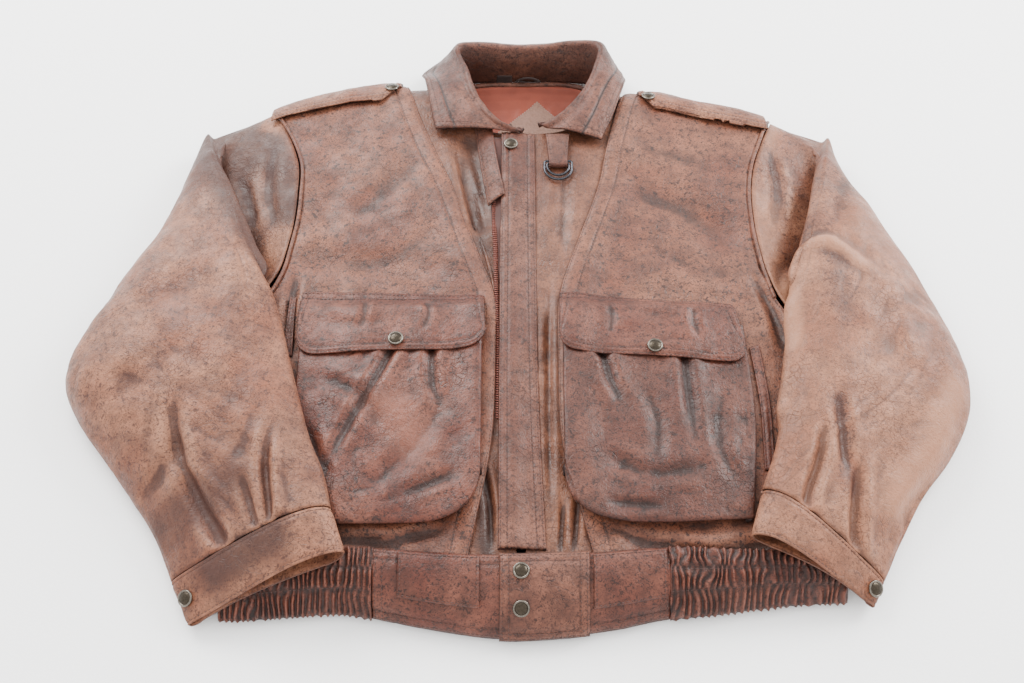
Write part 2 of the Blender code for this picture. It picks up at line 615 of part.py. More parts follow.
SNAP_METAL = (0.52, 0.49, 0.46)
CUFF_SNAP_AT = 17      # of 121 points over the cuff
SNAP = ((0, 0), (6.6, 0), (SNAP_RADIUS, 0.8), (SNAP_RADIUS - 0.2, 1.6), (4.6, 2.5), (0, 2.9))


def snap(name, x, y, height, clear=SNAP_CLEAR):
    """Press snap cap seated on a height function."""
    step = 4.0
    z = height(x, y)
    gx = (height(x + step, y) - height(x - step, y)) / (2 * step)
    gy = (height(x, y + step) - height(x, y - step)) / (2 * step)
    n = np.array([-gx, -gy, 1.0])
    n /= np.linalg.norm(n)
    revolve(name, np.array([x, y, z]) + n * clear, n, SNAP, SNAP_METAL, 0.32, 1.0)


def tube(name, points, radius, color, roughness, metallic, cyclic=False):
    data = bpy.data.curves.new(name, "CURVE")
    data.dimensions = "3D"
    line = data.splines.new("POLY")
    line.points.add(len(points) - 1)
    for target, p in zip(line.points, points):
        target.co = (*(np.array(p) * MM), 1.0)
    line.use_cyclic_u = cyclic
    data.bevel_depth = radius * MM
    data.bevel_resolution = 2
    data.use_fill_caps = not cyclic
    return add_object(name, data, color, roughness, metallic)


def d_ring(name, x, bar_y, arm, half, bar_z, tip_z):
    """Ring with a straight bar, two short arms and a half circle, lying down from its bar."""
    pts = [(-half + 2.5, 0), (half - 2.5, 0)]
    pts += [(half - 2.5 + 2.5 * np.sin(a), -2.5 + 2.5 * np.cos(a)) for a in spread(4)[1:] * np.pi / 2]
    pts += [(half * np.cos(a), -arm - half * np.sin(a)) for a in spread(13) * np.pi]
    pts += [(-half + 2.5 - 2.5 * np.cos(a), -2.5 + 2.5 * np.sin(a)) for a in spread(4)[:-1] * np.pi / 2]
    reach = arm + half
    slope = (tip_z - bar_z) / reach
    length = np.hypot(1.0, slope)
    placed = [(x + px, bar_y + py / length, bar_z - slope * py / length) for px, py in pts]
    tube(name, placed, RING_WIRE, RING_STEEL, 0.3, 1.0, cyclic=True)


def under_loop(y):
    """Highest point of the front under the width of the ring loop."""
    return float(outer_z(np.linspace(LOOP_X - 12, LOOP_X + 12, 7), np.full(7, y)).max())


def ring_loop():
    """Tapered strap folded round the straight bars of the two rings."""
    bar_z = under_loop(LOOP_Y) + 0.7 + WALL + SEW_GAP + RING_WIRE
    turn = RING_WIRE + SEW_GAP + WALL
    path = [(222, under_loop(222) + 0.9), (206, under_loop(206) + 0.7)]
    path += [(LOOP_Y - 1.0 - turn * np.sin(a), bar_z - turn * np.cos(a)) for a in spread(7) * np.pi]
    path += [(202, bar_z + turn), (214, bar_z + turn), (232, under_loop(232) + 7.0)]
    half = np.interp([p[0] for p in path], (186, 194, 232), (9.7, 9.7, 12.5))
    loop = [[(LOOP_X - h, y, z), (LOOP_X, y, z), (LOOP_X + h, y, z)] for (y, z), h in zip(path, half)]
    shell("ring_loop", np.array(loop), WALL, LEATHER)
    for name, bar_y, arm, half in RINGS:
        tip_y = bar_y - arm - half
        tip = float(front_z(np.array([LOOP_X]), np.array([tip_y]))[0]) + RING_WIRE + SEW_GAP + 1.0
        d_ring(name, LOOP_X, bar_y, arm, half, bar_z, tip)


# Neck

NECK_TOP = np.array([(-80, 327), (-55, 337), (6, 341), (66, 337), (94, 320)])


def lining_z(x, y):
    """Outer face of the lining: flat inside the back, turned up to the neck seam."""
    y = y + (340 - table(x, NECK_TOP)) * smooth((y - 280) / 40)
    return np.interp(y, (150, 290, 316, 328, 335, 340), (4.2, 4.4, 5.6, 8.6, 12.0, 16.5))


def neck():
    """Lining in the neck opening, with its patch, label and hanger loop."""
    left, right = [(-112, 190), (-98, 280), NECK_TOP[0]], [(124, 190), (110, 280), NECK_TOP[-1]]
    vs = np.array([0, .3, .55, .75, .86, .93, 1])
    xy = coons([left[0], right[0]], NECK_TOP, left, right, spread(9), vs)
    shell("neck_lining", lifted(xy, lining_z(xy[..., 0], xy[..., 1])), 1.2, (0.47, 0.17, 0.11), 0.38)
    left, right = [(-46, 258), (20, 326)], [(14, 206), (78, 262)]
    xy = coons([left[0], right[0]], [left[1], right[1]], left, right, spread(5), spread(6))
    shell("neck_patch", lifted(xy, lining_z(xy[..., 0], xy[..., 1]) + 2.2), 1.4, (0.31, 0.22, 0.17), 0.6)
    label = [[(x, STAND_FACE + 0.17 * (z - 18), z) for x in (-25, -16.5, -8)] for z in (19.5, 24, 28)]
    shell("neck_label", np.array(label), 0.8, (0.03, 0.03, 0.035), 0.8, flip=True)
    arc = [(-3 + 26 * s, STAND_FACE - 0.2 - 1.6 * np.sin(np.pi * s), 20.5 + 7.0 * np.sin(np.pi * s) ** 0.8)
           for s in spread(11)]
    tube("hanger_loop", arc, 1.3, (0.10, 0.07, 0.065), 0.6, 0.0)


# Build

back_panel()

side_front("side_front_left", ARM_L, SEAM_L, [(-273, 287), (-251, 298), (-219, 311), (-187, 323), (-150, 330),
                                              (-123, 331)], False)
side_front("side_front_right", ARM_R, SEAM_R, [(273, 276), (241, 289), (198, 301), (155, 316), (118, 318)],
           True)
centre_front("centre_front_left", SEAM_L, -4.0,
             [(-133, 328), (-101, 328.5), (-84, 302), (-64, 270), (-42, 247), (-4, 237)], -1)
centre_front("centre_front_right", SEAM_R, 4.0,
             [(128, 315.5), (113, 316), (96, 296), (74, 266), (50, 246), (4, 237)], 1)

strip("zip_strip", [(-20.5, -250), (-20.5, -100), (-20.5, 30), (-29, 110), (-30, 231)],
      [(-9, -250), (-9, -100), (-9, 50), (-9, 231)], zip_lift, WALL, TAPE, rows=15, cols=3)
strip("placket", [(-20, -250), (-20.5, -100), (-20, 50), (-19, 236)],
      [(22, -250), (17, -100), (16, 50), (16, 237)], placket_lift, STRAP, LEATHER, rows=16, cols=5)

corner = rounded((-120, -229), (-36, -120), (-36, -227), 52)
pocket("pocket_left", [(-210, -228), (-120, -229), *corner], [(-209, -6), (-36, -6)],
       [(-210, -228), (-210, -120), (-209, -6)], [corner[-1], (-36, -120), (-36, -6)],
       [([(-118, -60), (-150, -112), (-176, -180)], 4.5), ([(-84, -58), (-79, -100)], 4.0)])
corner = rounded((40, -120), (120, -228), (38, -226), 52)
pocket("pocket_right", [*corner, (120, -228), (205, -222)], [(40, -4), (213, -18)],
       [corner[0], (39, -120), (40, -4)], [(205, -222), (215, -120), (213, -18)],
       [([(76, -66), (86, -90), (98, -118)], 4.0), ([(153, -72), (156, -150)], 4.0)])

outer_corner = rounded((-212, 0), (-120, -53), (-213, -54), 24)
inner_corner = rounded((-120, -53), (-34, 0), (-33, -52), 24)
flap("flap_left", [*outer_corner, (-120, -53), *inner_corner], [(-214, 26), (-120, 23), (-35, 18)],
     [outer_corner[0], (-214, 26)], [inner_corner[-1], (-35, 18)])
inner_corner = rounded((37, 0), (120, -58), (36, -56), 22)
outer_corner = rounded((120, -59), (208, 0), (215, -64), 24)
flap("flap_right", [*inner_corner, (120, -59), *outer_corner], [(38, 22), (120, 17), (205, 9)],
     [inner_corner[0], (38, 22)], [outer_corner[-1], (205, 9)])

strip("side_welt_left", [(-225, -50), (-225, -15), (-224, 20)], [(-216, -50), (-217, -15), (-218, 20)],
      welt_lift, WALL, LEATHER_DARK, rows=5, cols=2)
strip("side_welt_right", [(219, -172), (221, -100), (217, -40)], [(229, -172), (231, -100), (227, -36)],
      welt_lift, WALL, LEATHER_DARK, rows=8, cols=2)

sleeve(-1, SLEEVE_L)
sleeve(1, SLEEVE_R)
cuff(-1, CUFF_L)
cuff(1, CUFF_R)

collar()

shell("waistband_front_left", band_surface(spread(9, SEW_GAP - ELASTIC_START, -2), spread(6)), WALL,
      LEATHER_DARK, flip=True)
shell("waistband_front_right", band_surface(spread(9, 2, ELASTIC_START - SEW_GAP), spread(6)), WALL,
      LEATHER_DARK, flip=True)
shell("snap_tab", band_surface(spread(7, -19, 59), spread(6), lift=LIFT), STRAP, LEATHER, flip=True)
shell("band_patch_left", band_surface(spread(6, -107, -36), spread(5, .04, .72), lift=LIFT), WALL,
      LEATHER_DARK, flip=True)
shell("band_patch_right", band_surface(spread(6, 62, 126), spread(5, .04, .76), lift=LIFT), WALL,
      LEATHER_DARK, flip=True)
for name, first, last in (("elastic_left", BAND_LEFT, -ELASTIC_START),
                          ("elastic_right", ELASTIC_START, BAND_RIGHT)):
    folds = band_surface(spread(3 * GATHERS + 1, first, last), spread(4), ripple=gather)
    shell(name, folds, WALL, LEATHER_DARK, flip=True)
waistband_back()

strap_on_shoulder("epaulette_left", -266, -129, [(-270, 255), (-251, 264), (-183, 287), (-129, 292)], True)
strap_on_shoulder("epaulette_right", 264, 130, [(130, 272), (150, 272), (195, 262), (264, 244)], False)

strip("throat_tab", [(-33, 136), (-41, 190), (-48, 246)], [(-15, 145), (-23, 190), (-29, 246)],
      tab_lift, WALL, LEATHER, rows=8, cols=3)

ring_loop()
neck()

# Snaps


def on_flap(x, y):
    x, y = np.array([x]), np.array([y])
    return float((outer_z(x, y) + flap_lift(x, y))[0])


def on_band(x, y):
    t = (y - table(x, TOP_LINE)) / (table(x, HEM) - table(x, TOP_LINE))
    return float(band_surface(np.array([x]), np.array([t]), lift=LIFT)[0, 0, 2])


def on_placket(x, y):
    x, y = np.array([x]), np.array([y])
    return float((front_z(x, y) + placket_lift(x, y))[0])


def epaulette_snap(name, x, y):
    point, normal = strap_point(x, y)
    slope = (strap_point(x + 4, y)[0][2] - strap_point(x - 4, y)[0][2]) / 8.0
    normal = normal - np.array([slope * normal[2], 0, 0])
    revolve(name, point + normal * SNAP_CLEAR, normal, SNAP, SNAP_METAL, 0.32, 1.0)


def cuff_snap(name, spec, side):
    """Cap near the outer end of the cuff, half way down its band."""
    near = 3
    ring = cuff_ring(spec, 0.5, side, across=121, under=5)
    along = ring[CUFF_SNAP_AT + near] - ring[CUFF_SNAP_AT - near]
    down = np.array([*(np.array(spec[2]) - np.array(spec[0])), 0.5 * (spec[5][2] - spec[4][2])])
    normal = np.cross(along, down)
    normal *= np.sign(normal[2]) / np.linalg.norm(normal)
    mirror = np.array([-side, 1, 1])
    seat = ring[CUFF_SNAP_AT] + normal * SNAP_CLEAR
    revolve(name, seat * mirror, normal * mirror, SNAP, SNAP_METAL, 0.32, 1.0)


snap("snap_collar", -9, 216, on_placket)
snap("snap_hem_upper", 0, -273, on_band, 0.4)
snap("snap_hem_lower", 0, -302, on_band)
snap("snap_flap_left", -117, -42, on_flap)
snap("snap_flap_right", 126, -50, on_flap)
epaulette_snap("snap_epaulette_left", -139, 308)
epaulette_snap("snap_epaulette_right", 140, 293)
cuff_snap("snap_cuff_left", CUFF_L, -1)
cuff_snap("snap_cuff_right", CUFF_R, 1)
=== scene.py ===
"""Looks of the worn leather jacket: every sewn piece is a fine sheet on its solid's form.

Lengths are millimetres in the formulas and metres in the meshes. x runs to the right,
y from the hem to the collar, z up from the table. Left and right are those of the viewer.
Each form is a grid of points, worked out from the same tables as the solids. A sheet is
that grid moved along its normals by a height: creases placed in plan, the broad
and fine relief of worn leather, channels under the stitches and rolled edges.
"""

import bpy
import numpy as np
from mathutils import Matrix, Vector


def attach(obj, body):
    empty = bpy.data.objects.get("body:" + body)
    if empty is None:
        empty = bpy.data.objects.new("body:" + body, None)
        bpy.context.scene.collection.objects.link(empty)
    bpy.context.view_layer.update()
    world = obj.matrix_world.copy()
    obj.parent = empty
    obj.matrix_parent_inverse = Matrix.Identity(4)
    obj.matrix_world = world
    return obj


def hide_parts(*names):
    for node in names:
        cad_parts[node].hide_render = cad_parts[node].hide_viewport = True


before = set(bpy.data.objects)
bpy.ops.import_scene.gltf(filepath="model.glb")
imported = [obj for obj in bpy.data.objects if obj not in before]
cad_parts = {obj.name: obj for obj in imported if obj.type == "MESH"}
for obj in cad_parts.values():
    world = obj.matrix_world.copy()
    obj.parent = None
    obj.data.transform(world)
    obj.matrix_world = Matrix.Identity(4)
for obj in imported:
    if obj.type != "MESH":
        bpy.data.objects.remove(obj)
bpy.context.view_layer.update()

MM = 0.001
BODY = "jacket"
# Sheets: one layer, leather folded double, placket and snap tab. The solids' wall is thicker.
WALL, DOUBLE, STRAP = 1.6, 2.4, 1.8
SOLID_WALL = 1.8
THIN = {"neck_lining": 1.0, "neck_patch": 1.2, "neck_label": 0.7}
SEW_GAP = 0.5
# Placket over the centre fronts, and side fronts over the centre fronts.
LIFT, LAP = 2.8, 3.8
BACK_CURL, EDGE_Z, EDGE_DROP = 14.0, 16.9, 5.0
SIDE_ROUND, TOP_ROUND = 55.0, 38.0
FRONT_END = -262.0
GATHERS = 26
STITCH_PITCH = 3.9
POCKET_DEPTH, POCKET_SEAT, FLAP_CLEAR = 13.0, 1.5, 0.6
BAG_WIDE, BAG_HIGH = 175.0, 215.0
STAND_FACE = 345.7
RING_WIRE = 1.3
LOOP_X, LOOP_Y = 40.0, 190.3
RINGS = (("d_ring_outer", "ring_outer", 193.6, 9.6, 14.2), ("d_ring_inner", "ring_inner", LOOP_Y, 3.3, 11.4))

# Plan tables, (x, y) of the outline or (y, x) of a seam, and the body's height down its middle.
CROWN_Y = (-262, -200, -60, 60, 200, 270, 330)
CROWN_Z = (30, 37, 43, 45, 46, 43, 39)
SHOULDER = np.array([(-400, 240), (-330, 250), (-300, 270), (-272, 287), (-251, 298), (-219, 311),
                     (-187, 323), (-150, 330), (-101, 331), (-84, 372), (90, 362), (112, 319),
                     (155, 316), (198, 301), (241, 289), (272, 276), (303, 259), (325, 246), (400, 236)])
SIDE_L = np.array([(-262, -262), (-150, -284), (-15, -305), (400, -312)])
SIDE_R = np.array([(-262, 284), (-150, 296), (-28, 309), (400, 314)])
ARM_L = np.array([(-262, -262), (-150, -284), (-18, -304.5), (-8, -275), (8, -256), (30, -243),
                  (56, -234), (84, -230), (123, -226), (157, -226), (193, -228), (230, -240), (261, -256),
                  (287, -273)])
ARM_R = np.array([(-262, 284), (-150, 296), (-30, 308), (-20, 282), (3, 257), (47, 243), (84, 238),
                  (116, 236), (157, 237), (193, 243), (231, 256), (254, 264), (276, 273)])
SEAM_L = np.array([(-262, -47), (-215, -38), (-150, -27), (-60, -23), (13, -23), (75, -42), (156, -67),
                   (225, -93), (299, -116), (335, -124)])
SEAM_R = np.array([(-262, 64), (-215, 53), (-150, 38), (-60, 35), (26, 39), (90, 58), (156, 79),
                   (225, 93), (292, 109), (322, 119)])
BAND_LEFT, BAND_RIGHT, ELASTIC_START, HEM_Z = -261.5, 283.5, 128.5, 7.0
HEM = np.array([(-290, -300), (-256, -303), (-191, -299), (-157, -297), (-118, -304), (-70, -314),
                (-18, -321), (33, -319), (85, -312), (120, -304), (172, -297), (234, -289), (290, -286)])
TOP_LINE = np.array([(-290, -254), (-130, -250), (-71, -254), (-18, -256), (58, -254), (127, -249),
                     (190, -251), (290, -252)])


# Curves and surfaces

def table(x, pairs):
    """Value at x on straight lines between pairs."""
    pairs = np.asarray(pairs, float)
    return np.interp(x, pairs[:, 0], pairs[:, 1])


def smooth(t):
    """Soft step from 0 at t = 0 to 1 at t = 1."""
    t = np.clip(t, 0.0, 1.0)
    return t * t * (3.0 - 2.0 * t)


def quarter(t):
    """Height of a quarter circle, 0 at the edge and 1 from t = 1 on."""
    t = np.clip(t, 0.0, 1.0)
    return np.sqrt(1.0 - (1.0 - t) ** 2)


def spread(count, first=0.0, last=1.0):
    """Evenly spaced values, both ends among them."""
    return np.linspace(first, last, count)


def curve(points, t):
    """Points at the shares t of the length of a smooth curve through the given points."""
    p = np.asarray(points, float)
    step = np.linalg.norm(np.diff(p, axis=0), axis=1)
    knot = np.concatenate(([0.0], np.cumsum(step)))
    slope = np.diff(p, axis=0) / step[:, None]
    tangent = np.empty_like(p)
    tangent[0], tangent[-1] = slope[0], slope[-1]
    before, after = step[:-1, None], step[1:, None]
    tangent[1:-1] = (slope[1:] * before + slope[:-1] * after) / (before + after)
    s = np.clip(np.asarray(t, float), 0.0, 1.0) * knot[-1]
    i = np.clip(np.searchsorted(knot, s, side="right") - 1, 0, len(step) - 1)
    h = step[i][:, None]
    f = ((s - knot[i]) / step[i])[:, None]
    return ((2 * f ** 3 - 3 * f ** 2 + 1) * p[i] + (f ** 3 - 2 * f ** 2 + f) * h * tangent[i]
            + (3 * f ** 2 - 2 * f ** 3) * p[i + 1] + (f ** 3 - f ** 2) * h * tangent[i + 1])


def rounded_table(pairs):
    """A row of pairs made into a smooth, finely divided one."""
    fine = curve(pairs, spread(300))
    fine[:, 0] = np.maximum.accumulate(fine[:, 0])
    return fine


ARM_L, ARM_R, SEAM_L, SEAM_R, HEM, TOP_LINE = (rounded_table(row) for row in
                                               (ARM_L, ARM_R, SEAM_L, SEAM_R, HEM, TOP_LINE))


def coons(bottom, top, left, right, us, vs):
    """Plan grid between four edge curves that meet at their ends."""
    b, t = curve(bottom, us), curve(top, us)
    lo, hi = curve(left, vs), curve(right, vs)
    u, v = np.meshgrid(us, vs)
    u, v = u[..., None], v[..., None]
    ruled = (1 - v) * b[None] + v * t[None] + (1 - u) * lo[:, None] + u * hi[:, None]
    corners = ((1 - u) * (1 - v) * curve(bottom, [0.0])[0] + u * (1 - v) * curve(bottom, [1.0])[0]
               + (1 - u) * v * curve(top, [0.0])[0] + u * v * curve(top, [1.0])[0])
    return ruled - corners


def to_segment(x, y, a, b):
    """Distance to the straight line from a to b, and the share of its length there."""
    d = b - a
    s = np.clip(((x - a[0]) * d[0] + (y - a[1]) * d[1]) / (d @ d), 0.0, 1.0)
    return np.hypot(x - a[0] - s * d[0], y - a[1] - s * d[1]), s


def near_line(x, y, line):
    """Distance to a plan line, the share of its length there, and the side (left is positive)."""
    pts = curve(line, spread(6 * len(line))) if len(line) > 2 else np.asarray(line, float)
    best = np.full(np.shape(x), 1e9)
    share, side = np.zeros(np.shape(x)), np.ones(np.shape(x))
    for k, (a, b) in enumerate(zip(pts[:-1], pts[1:])):
        gap, s = to_segment(x, y, a, b)
        turn = (x - a[0]) * (a[1] - b[1]) + (y - a[1]) * (b[0] - a[0])
        closer = gap < best
        best = np.where(closer, gap, best)
        share = np.where(closer, (k + s) / (len(pts) - 1), share)
        side = np.where(closer, np.sign(turn), side)
    return best, share, side


def bump(x, y, line, width):
    """One on a broken line in plan, falling smoothly to zero at the given distance from it."""
    best = np.full(np.shape(x), 1e9)
    pts = np.asarray(line, float)
    for a, b in zip(pts[:-1], pts[1:]):
        best = np.minimum(best, to_segment(x, y, a, b)[0])
    return smooth(1.0 - best / width)


def painted_light_and_tone(*rows):
    """Tone over the plan from rows of amount, line and reach: lighter above zero, darker below; it paints
    highlights and shade as well as other tone.
    """
    return lambda x, y: sum(amount * bump(x, y, line, reach) for amount, line, reach in rows)


def folds(x, y, rows):
    """Creases: (line, depth, width, lean) each, in plan.

    Across the line the leather falls by the depth in a bell of that width, with a low
    shoulder on both sides; lean tips it so that one side stands over the other.
    """
    h = np.zeros(np.shape(x))
    for line, depth, width, lean in rows:
        gap, share, side = near_line(x, y, line)
        depth, width = 1.35 * depth, 0.78 * width
        ends = smooth(share / 0.36) * smooth((1.0 - share) / 0.30)
        trough = np.exp(-(gap / width) ** 2)
        shoulder = np.exp(-((gap - 1.9 * width) / (1.1 * width)) ** 2)
        tip = side * (gap / width) * np.exp(-(gap / (1.5 * width)) ** 2)
        h += ends * depth * (-trough + 0.42 * shoulder + lean * tip)
    return h


# Noise

def lattice(ix, iy, seed):
    """Fixed random value from 0 to 1 for each whole point."""
    h = (ix.astype(np.int64) * 374761393 + iy.astype(np.int64) * 668265263 + seed * 974711) & 0xFFFFFFFF
    h = ((h ^ (h >> 13)) * 1274126177) & 0xFFFFFFFF
    return ((h ^ (h >> 16)) & 0xFFFFFF) / 16777216.0


def noise(x, y, scale, seed):
    """Smooth random height from 0 to 1 with humps about one scale apart."""
    a = 0.6 + 0.37 * seed
    px, py = (x * np.cos(a) - y * np.sin(a)) / scale, (x * np.sin(a) + y * np.cos(a)) / scale
    ix, iy = np.floor(px), np.floor(py)
    fx, fy = px - ix, py - iy
    fx, fy = fx ** 3 * (fx * (fx * 6 - 15) + 10), fy ** 3 * (fy * (fy * 6 - 15) + 10)
    low = lattice(ix, iy, seed) * (1 - fx) + lattice(ix + 1, iy, seed) * fx
    high = lattice(ix, iy + 1, seed) * (1 - fx) + lattice(ix + 1, iy + 1, seed) * fx
    return low * (1 - fy) + high * fy


def ridged(x, y, scale, seed):
    """Noise folded at its middle: sharp valleys between round humps, 0 to 1."""
    return np.abs(2.0 * noise(x, y, scale, seed) - 1.0)


def hide(u, v, seed, soft=1.0, crease=0.6, size=1.0):
    """Relief of worn leather: broad waves, then soft pads parted by sharp valleys."""
    wu = u + 14.0 * size * (noise(u, v, 31.0 * size, seed + 11) - 0.5)
    wv = v + 14.0 * size * (noise(u, v, 31.0 * size, seed + 12) - 0.5)
    broad = noise(wu, wv, 58.0 * size, seed) + 0.5 * noise(wu, wv, 29.0 * size, seed + 1) - 0.75
    pads = ridged(wu, wv, 21.0 * size, seed + 2) ** 0.8
    small = ridged(wu, wv, 9.5 * size, seed + 3) ** 0.8
    where = smooth(1.6 * noise(wu, wv, 47.0 * size, seed + 4) - 0.3)
    return 2.0 * soft * broad + crease * ((pads - 0.45) * (0.35 + where) + 0.45 * (small - 0.45) * where)


# Forms shared with the solids

# Broad swells and, below zero, dents of the body front: height, line in plan, reach to each side.
SWELLS = (
    (-11.0, [(-52, 225), (-44, 170), (-40, 120)], 26.0),
    (-5.0, [(96, 180), (150, 155), (200, 105)], 45.0),
    (3.0, [(-150, 220), (-110, 140), (-70, 60)], 50.0),
    (-4.0, [(-200, 70), (-140, 60), (-90, 50)], 30.0),
)


def toward_hem(y):
    """0 down to the middle of the pockets, 1 from just above the waistband on."""
    return smooth((-120.0 - y) / 120.0)


def front_z(x, y):
    """Outer face of the body front over the table."""
    edge = np.where(x < 0, x - table(y, SIDE_L), table(y, SIDE_R) - x)
    top = table(x, SHOULDER) - y
    crown = table(y, list(zip(CROWN_Y, CROWN_Z))) + 3.0 * np.exp(-(x / 160.0) ** 2)
    low = toward_hem(y)
    base = EDGE_Z - EDGE_DROP * low
    z = base + (crown - base) * quarter(edge / (SIDE_ROUND + 25.0 * low)) * quarter(top / TOP_ROUND)
    for height, line, reach in SWELLS:
        z += height * bump(x, y, line, reach)
    return z


def lap(x, y):
    """Lift of a side front where it lies over the centre front."""
    near = np.where(x < 0, table(y, SEAM_L) - x, x - table(y, SEAM_R))
    return LAP * (1.0 - smooth((near - 14.0) / 30.0)) * (near > -3.0)


def outer_z(x, y):
    """Outer face of the body, with the side fronts' lap."""
    return front_z(x, y) + lap(x, y)


def pocket_lift(x):
    """Depth of a bellows pocket, less toward the side of the body."""
    return POCKET_DEPTH - np.where(x < 0, 6.5, 4.55) * smooth((np.abs(x) - 150.0) / 55.0)


def flap_lift(x, y):
    """A flap lies on the body at its top and on the pocket below."""
    over = smooth((20.0 - y) / 26.0)
    return DOUBLE + FLAP_CLEAR + (pocket_lift(x) + FLAP_CLEAR) * over


def placket_lift(x, y):
    """The placket lies over the zip's tape at its left."""
    return LIFT + 3.4 * (1 - smooth((x + 8.0) / 18.0))


def tab_lift(x, y):
    """The throat tab rises toward the collar that it comes from."""
    return LIFT + 1.2 + 5.4 * smooth((246 - y) / 50.0)


def rounded(a, b, corner, radius):
    """Seven points round a corner, on the way from a to b."""
    a, b, c = (np.array(p, float) for p in (a, b, corner))
    start = c + (a - c) / np.linalg.norm(a - c) * radius
    end = c + (b - c) / np.linalg.norm(b - c) * radius
    return [start * (1 - s) ** 2 + 2 * c * s * (1 - s) + end * s * s for s in spread(7)]


def band_surface(xs, ts, lift=0.0):
    """Front of the waistband: t = 0 at the top line, 1 at the hem."""
    x, t = np.meshgrid(xs, ts)
    top_y, hem_y = table(x, TOP_LINE), table(x, HEM)
    y = top_y + t * (hem_y - top_y)
    top_z = front_z(x, top_y) + LAP + LIFT + 0.4
    z = HEM_Z + (top_z - HEM_Z) * (1.0 - t ** 2.4) ** 0.8 + lift * (1.0 - 0.55 * t ** 3)
    return np.stack((x, y - 0.9 * lift * t ** 3, z), -1)


def support(x, y):
    """Top of what lies under a sleeve: the table, or the body and its pockets."""
    side = np.where(x < 0, x - table(y, SIDE_L), table(y, SIDE_R) - x)
    edge = side + 13.0
    crown = table(y, list(zip(CROWN_Y, CROWN_Z)))
    low = toward_hem(y)
    base = EDGE_Z - EDGE_DROP * low
    body = base + 3.0 + (crown + 1.5 - base) * quarter(edge / (SIDE_ROUND + 25.0 * low))
    body = body + 6.5 * smooth((-236.0 - y) / 14.0)
    down = np.clip((-256.0 - y) / (-256.0 - table(x, HEM) + 10.0), 0.0, 1.0)
    body = body * (1.0 - down ** 2.4) ** 0.8
    body = body * smooth((side + 35.0) / 24.0)
    on_pocket = smooth((np.where(x < 0, 224.0, 228.0) - np.abs(x)) / 14.0) * smooth((y + 240.0) / 12.0)
    body = body + 10.5 * on_pocket * smooth((34.0 - y) / 20.0)
    return 0.6 + np.maximum((body + 0.8) * smooth((62.0 - y) / 26.0), 2.4 * smooth((286.0 - np.abs(x)) / 8.0))


# Heights of a sleeve ring against the share of the way from lip to cuff, under these keys.
SECTION = ("edge_outer", "edge_inner", "top_outer", "top_inner", "bulge")
SLEEVE_L = {
    "arm": [(-276, 290), (-258, 263), (-242, 230), (-231, 193), (-229, 157), (-229, 123), (-233, 84),
            (-238.5, 56), (-250, 32), (-263, 14), (-283, 0), (-308, -7)],
    "lip": [(-330, 254), (-311, 193), (-293, 147), (-278, 112), (-260, 70), (-246, 34), (-256, 18)],
    "away": (-0.93, 0.37),
    "back_arm": [(-308, -7), (-302, 26), (-285, 70), (-267, 150), (-268, 230), (-276, 290)],
    "back_lip": [(-300, 6), (-308, 50), (-319, 110), (-326, 170), (-332, 220), (-330, 254)],
    "outer": [(-336, 246), (-349, 215), (-357, 165), (-361, 131), (-377, 105), (-397, 54), (-414, 5),
              (-436, -43), (-434, -65), (-413, -109), (-381, -151), (-350, -192), (-323, -232), (-305, -270)],
    "inner": [(-254, 40), (-243, 22), (-233, -2), (-218, -53), (-202, -109), (-189, -151), (-173, -190),
              (-165, -221)],
    "edge_outer": [(0, 24), (.3, 22), (1, 14)],
    "edge_inner": [(0, 58), (.3, 62), (1, 58)],
    "top_outer": [(0, 40), (.12, 56), (.5, 52), (1, 30)],
    "top_inner": [(0, 72), (.2, 76), (1, 70)],
    "bulge": [(0, 2), (.3, 10), (.7, 8), (1, 4)],
}
SLEEVE_R = {
    "arm": [(-276, 279), (-267.5, 255), (-258, 231), (-245, 193), (-239, 157), (-238, 116), (-240, 84),
            (-246, 47), (-263, 6), (-287, -13), (-312, -21)],
    "lip": [(-326, 249), (-316, 214), (-307, 183), (-295, 135), (-284, 98), (-272, 60), (-262, 14),
            (-270, 2)],
    "away": (-0.95, 0.3),
    "back_arm": [(-312, -21), (-305, 10), (-285, 60), (-272, 150), (-271, 220), (-276, 279)],
    "back_lip": [(-304, -8), (-309, 50), (-319, 110), (-324, 170), (-328, 220), (-326, 249)],
    "outer": [(-331, 240), (-336, 215), (-347, 186), (-357, 158), (-380, 105), (-400, 54), (-415, 5),
              (-427, -43), (-426, -75), (-407, -131), (-375, -172), (-348, -212), (-330, -247), (-317, -269)],
    "inner": [(-266, 34), (-258, 9), (-251, -14), (-248, -49), (-241, -84), (-233, -117), (-231, -150),
              (-218, -185), (-211, -202)],
    "edge_outer": [(0, 24), (.3, 22), (1, 14)],
    "edge_inner": [(0, 58), (.3, 62), (1, 56)],
    "top_outer": [(0, 40), (.12, 54), (.5, 52), (1, 30)],
    "top_inner": [(0, 70), (.2, 74), (1, 68)],
    "bulge": [(0, 2), (.3, 10), (.7, 8), (1, 4)],
}
CUFF_L = ((-305, -270.8), (-165, -221.8), (-286, -309), (-150, -262), (14, 58, 30, 70, 4), (9, 54, 20, 63, 2))
CUFF_R = ((-317, -269.8), (-211, -202.8), (-306, -292), (-198, -244), (14, 56, 30, 68, 4), (9, 50, 20, 62, 2))
OVER, BELOW = 112, 62
FANS = 13


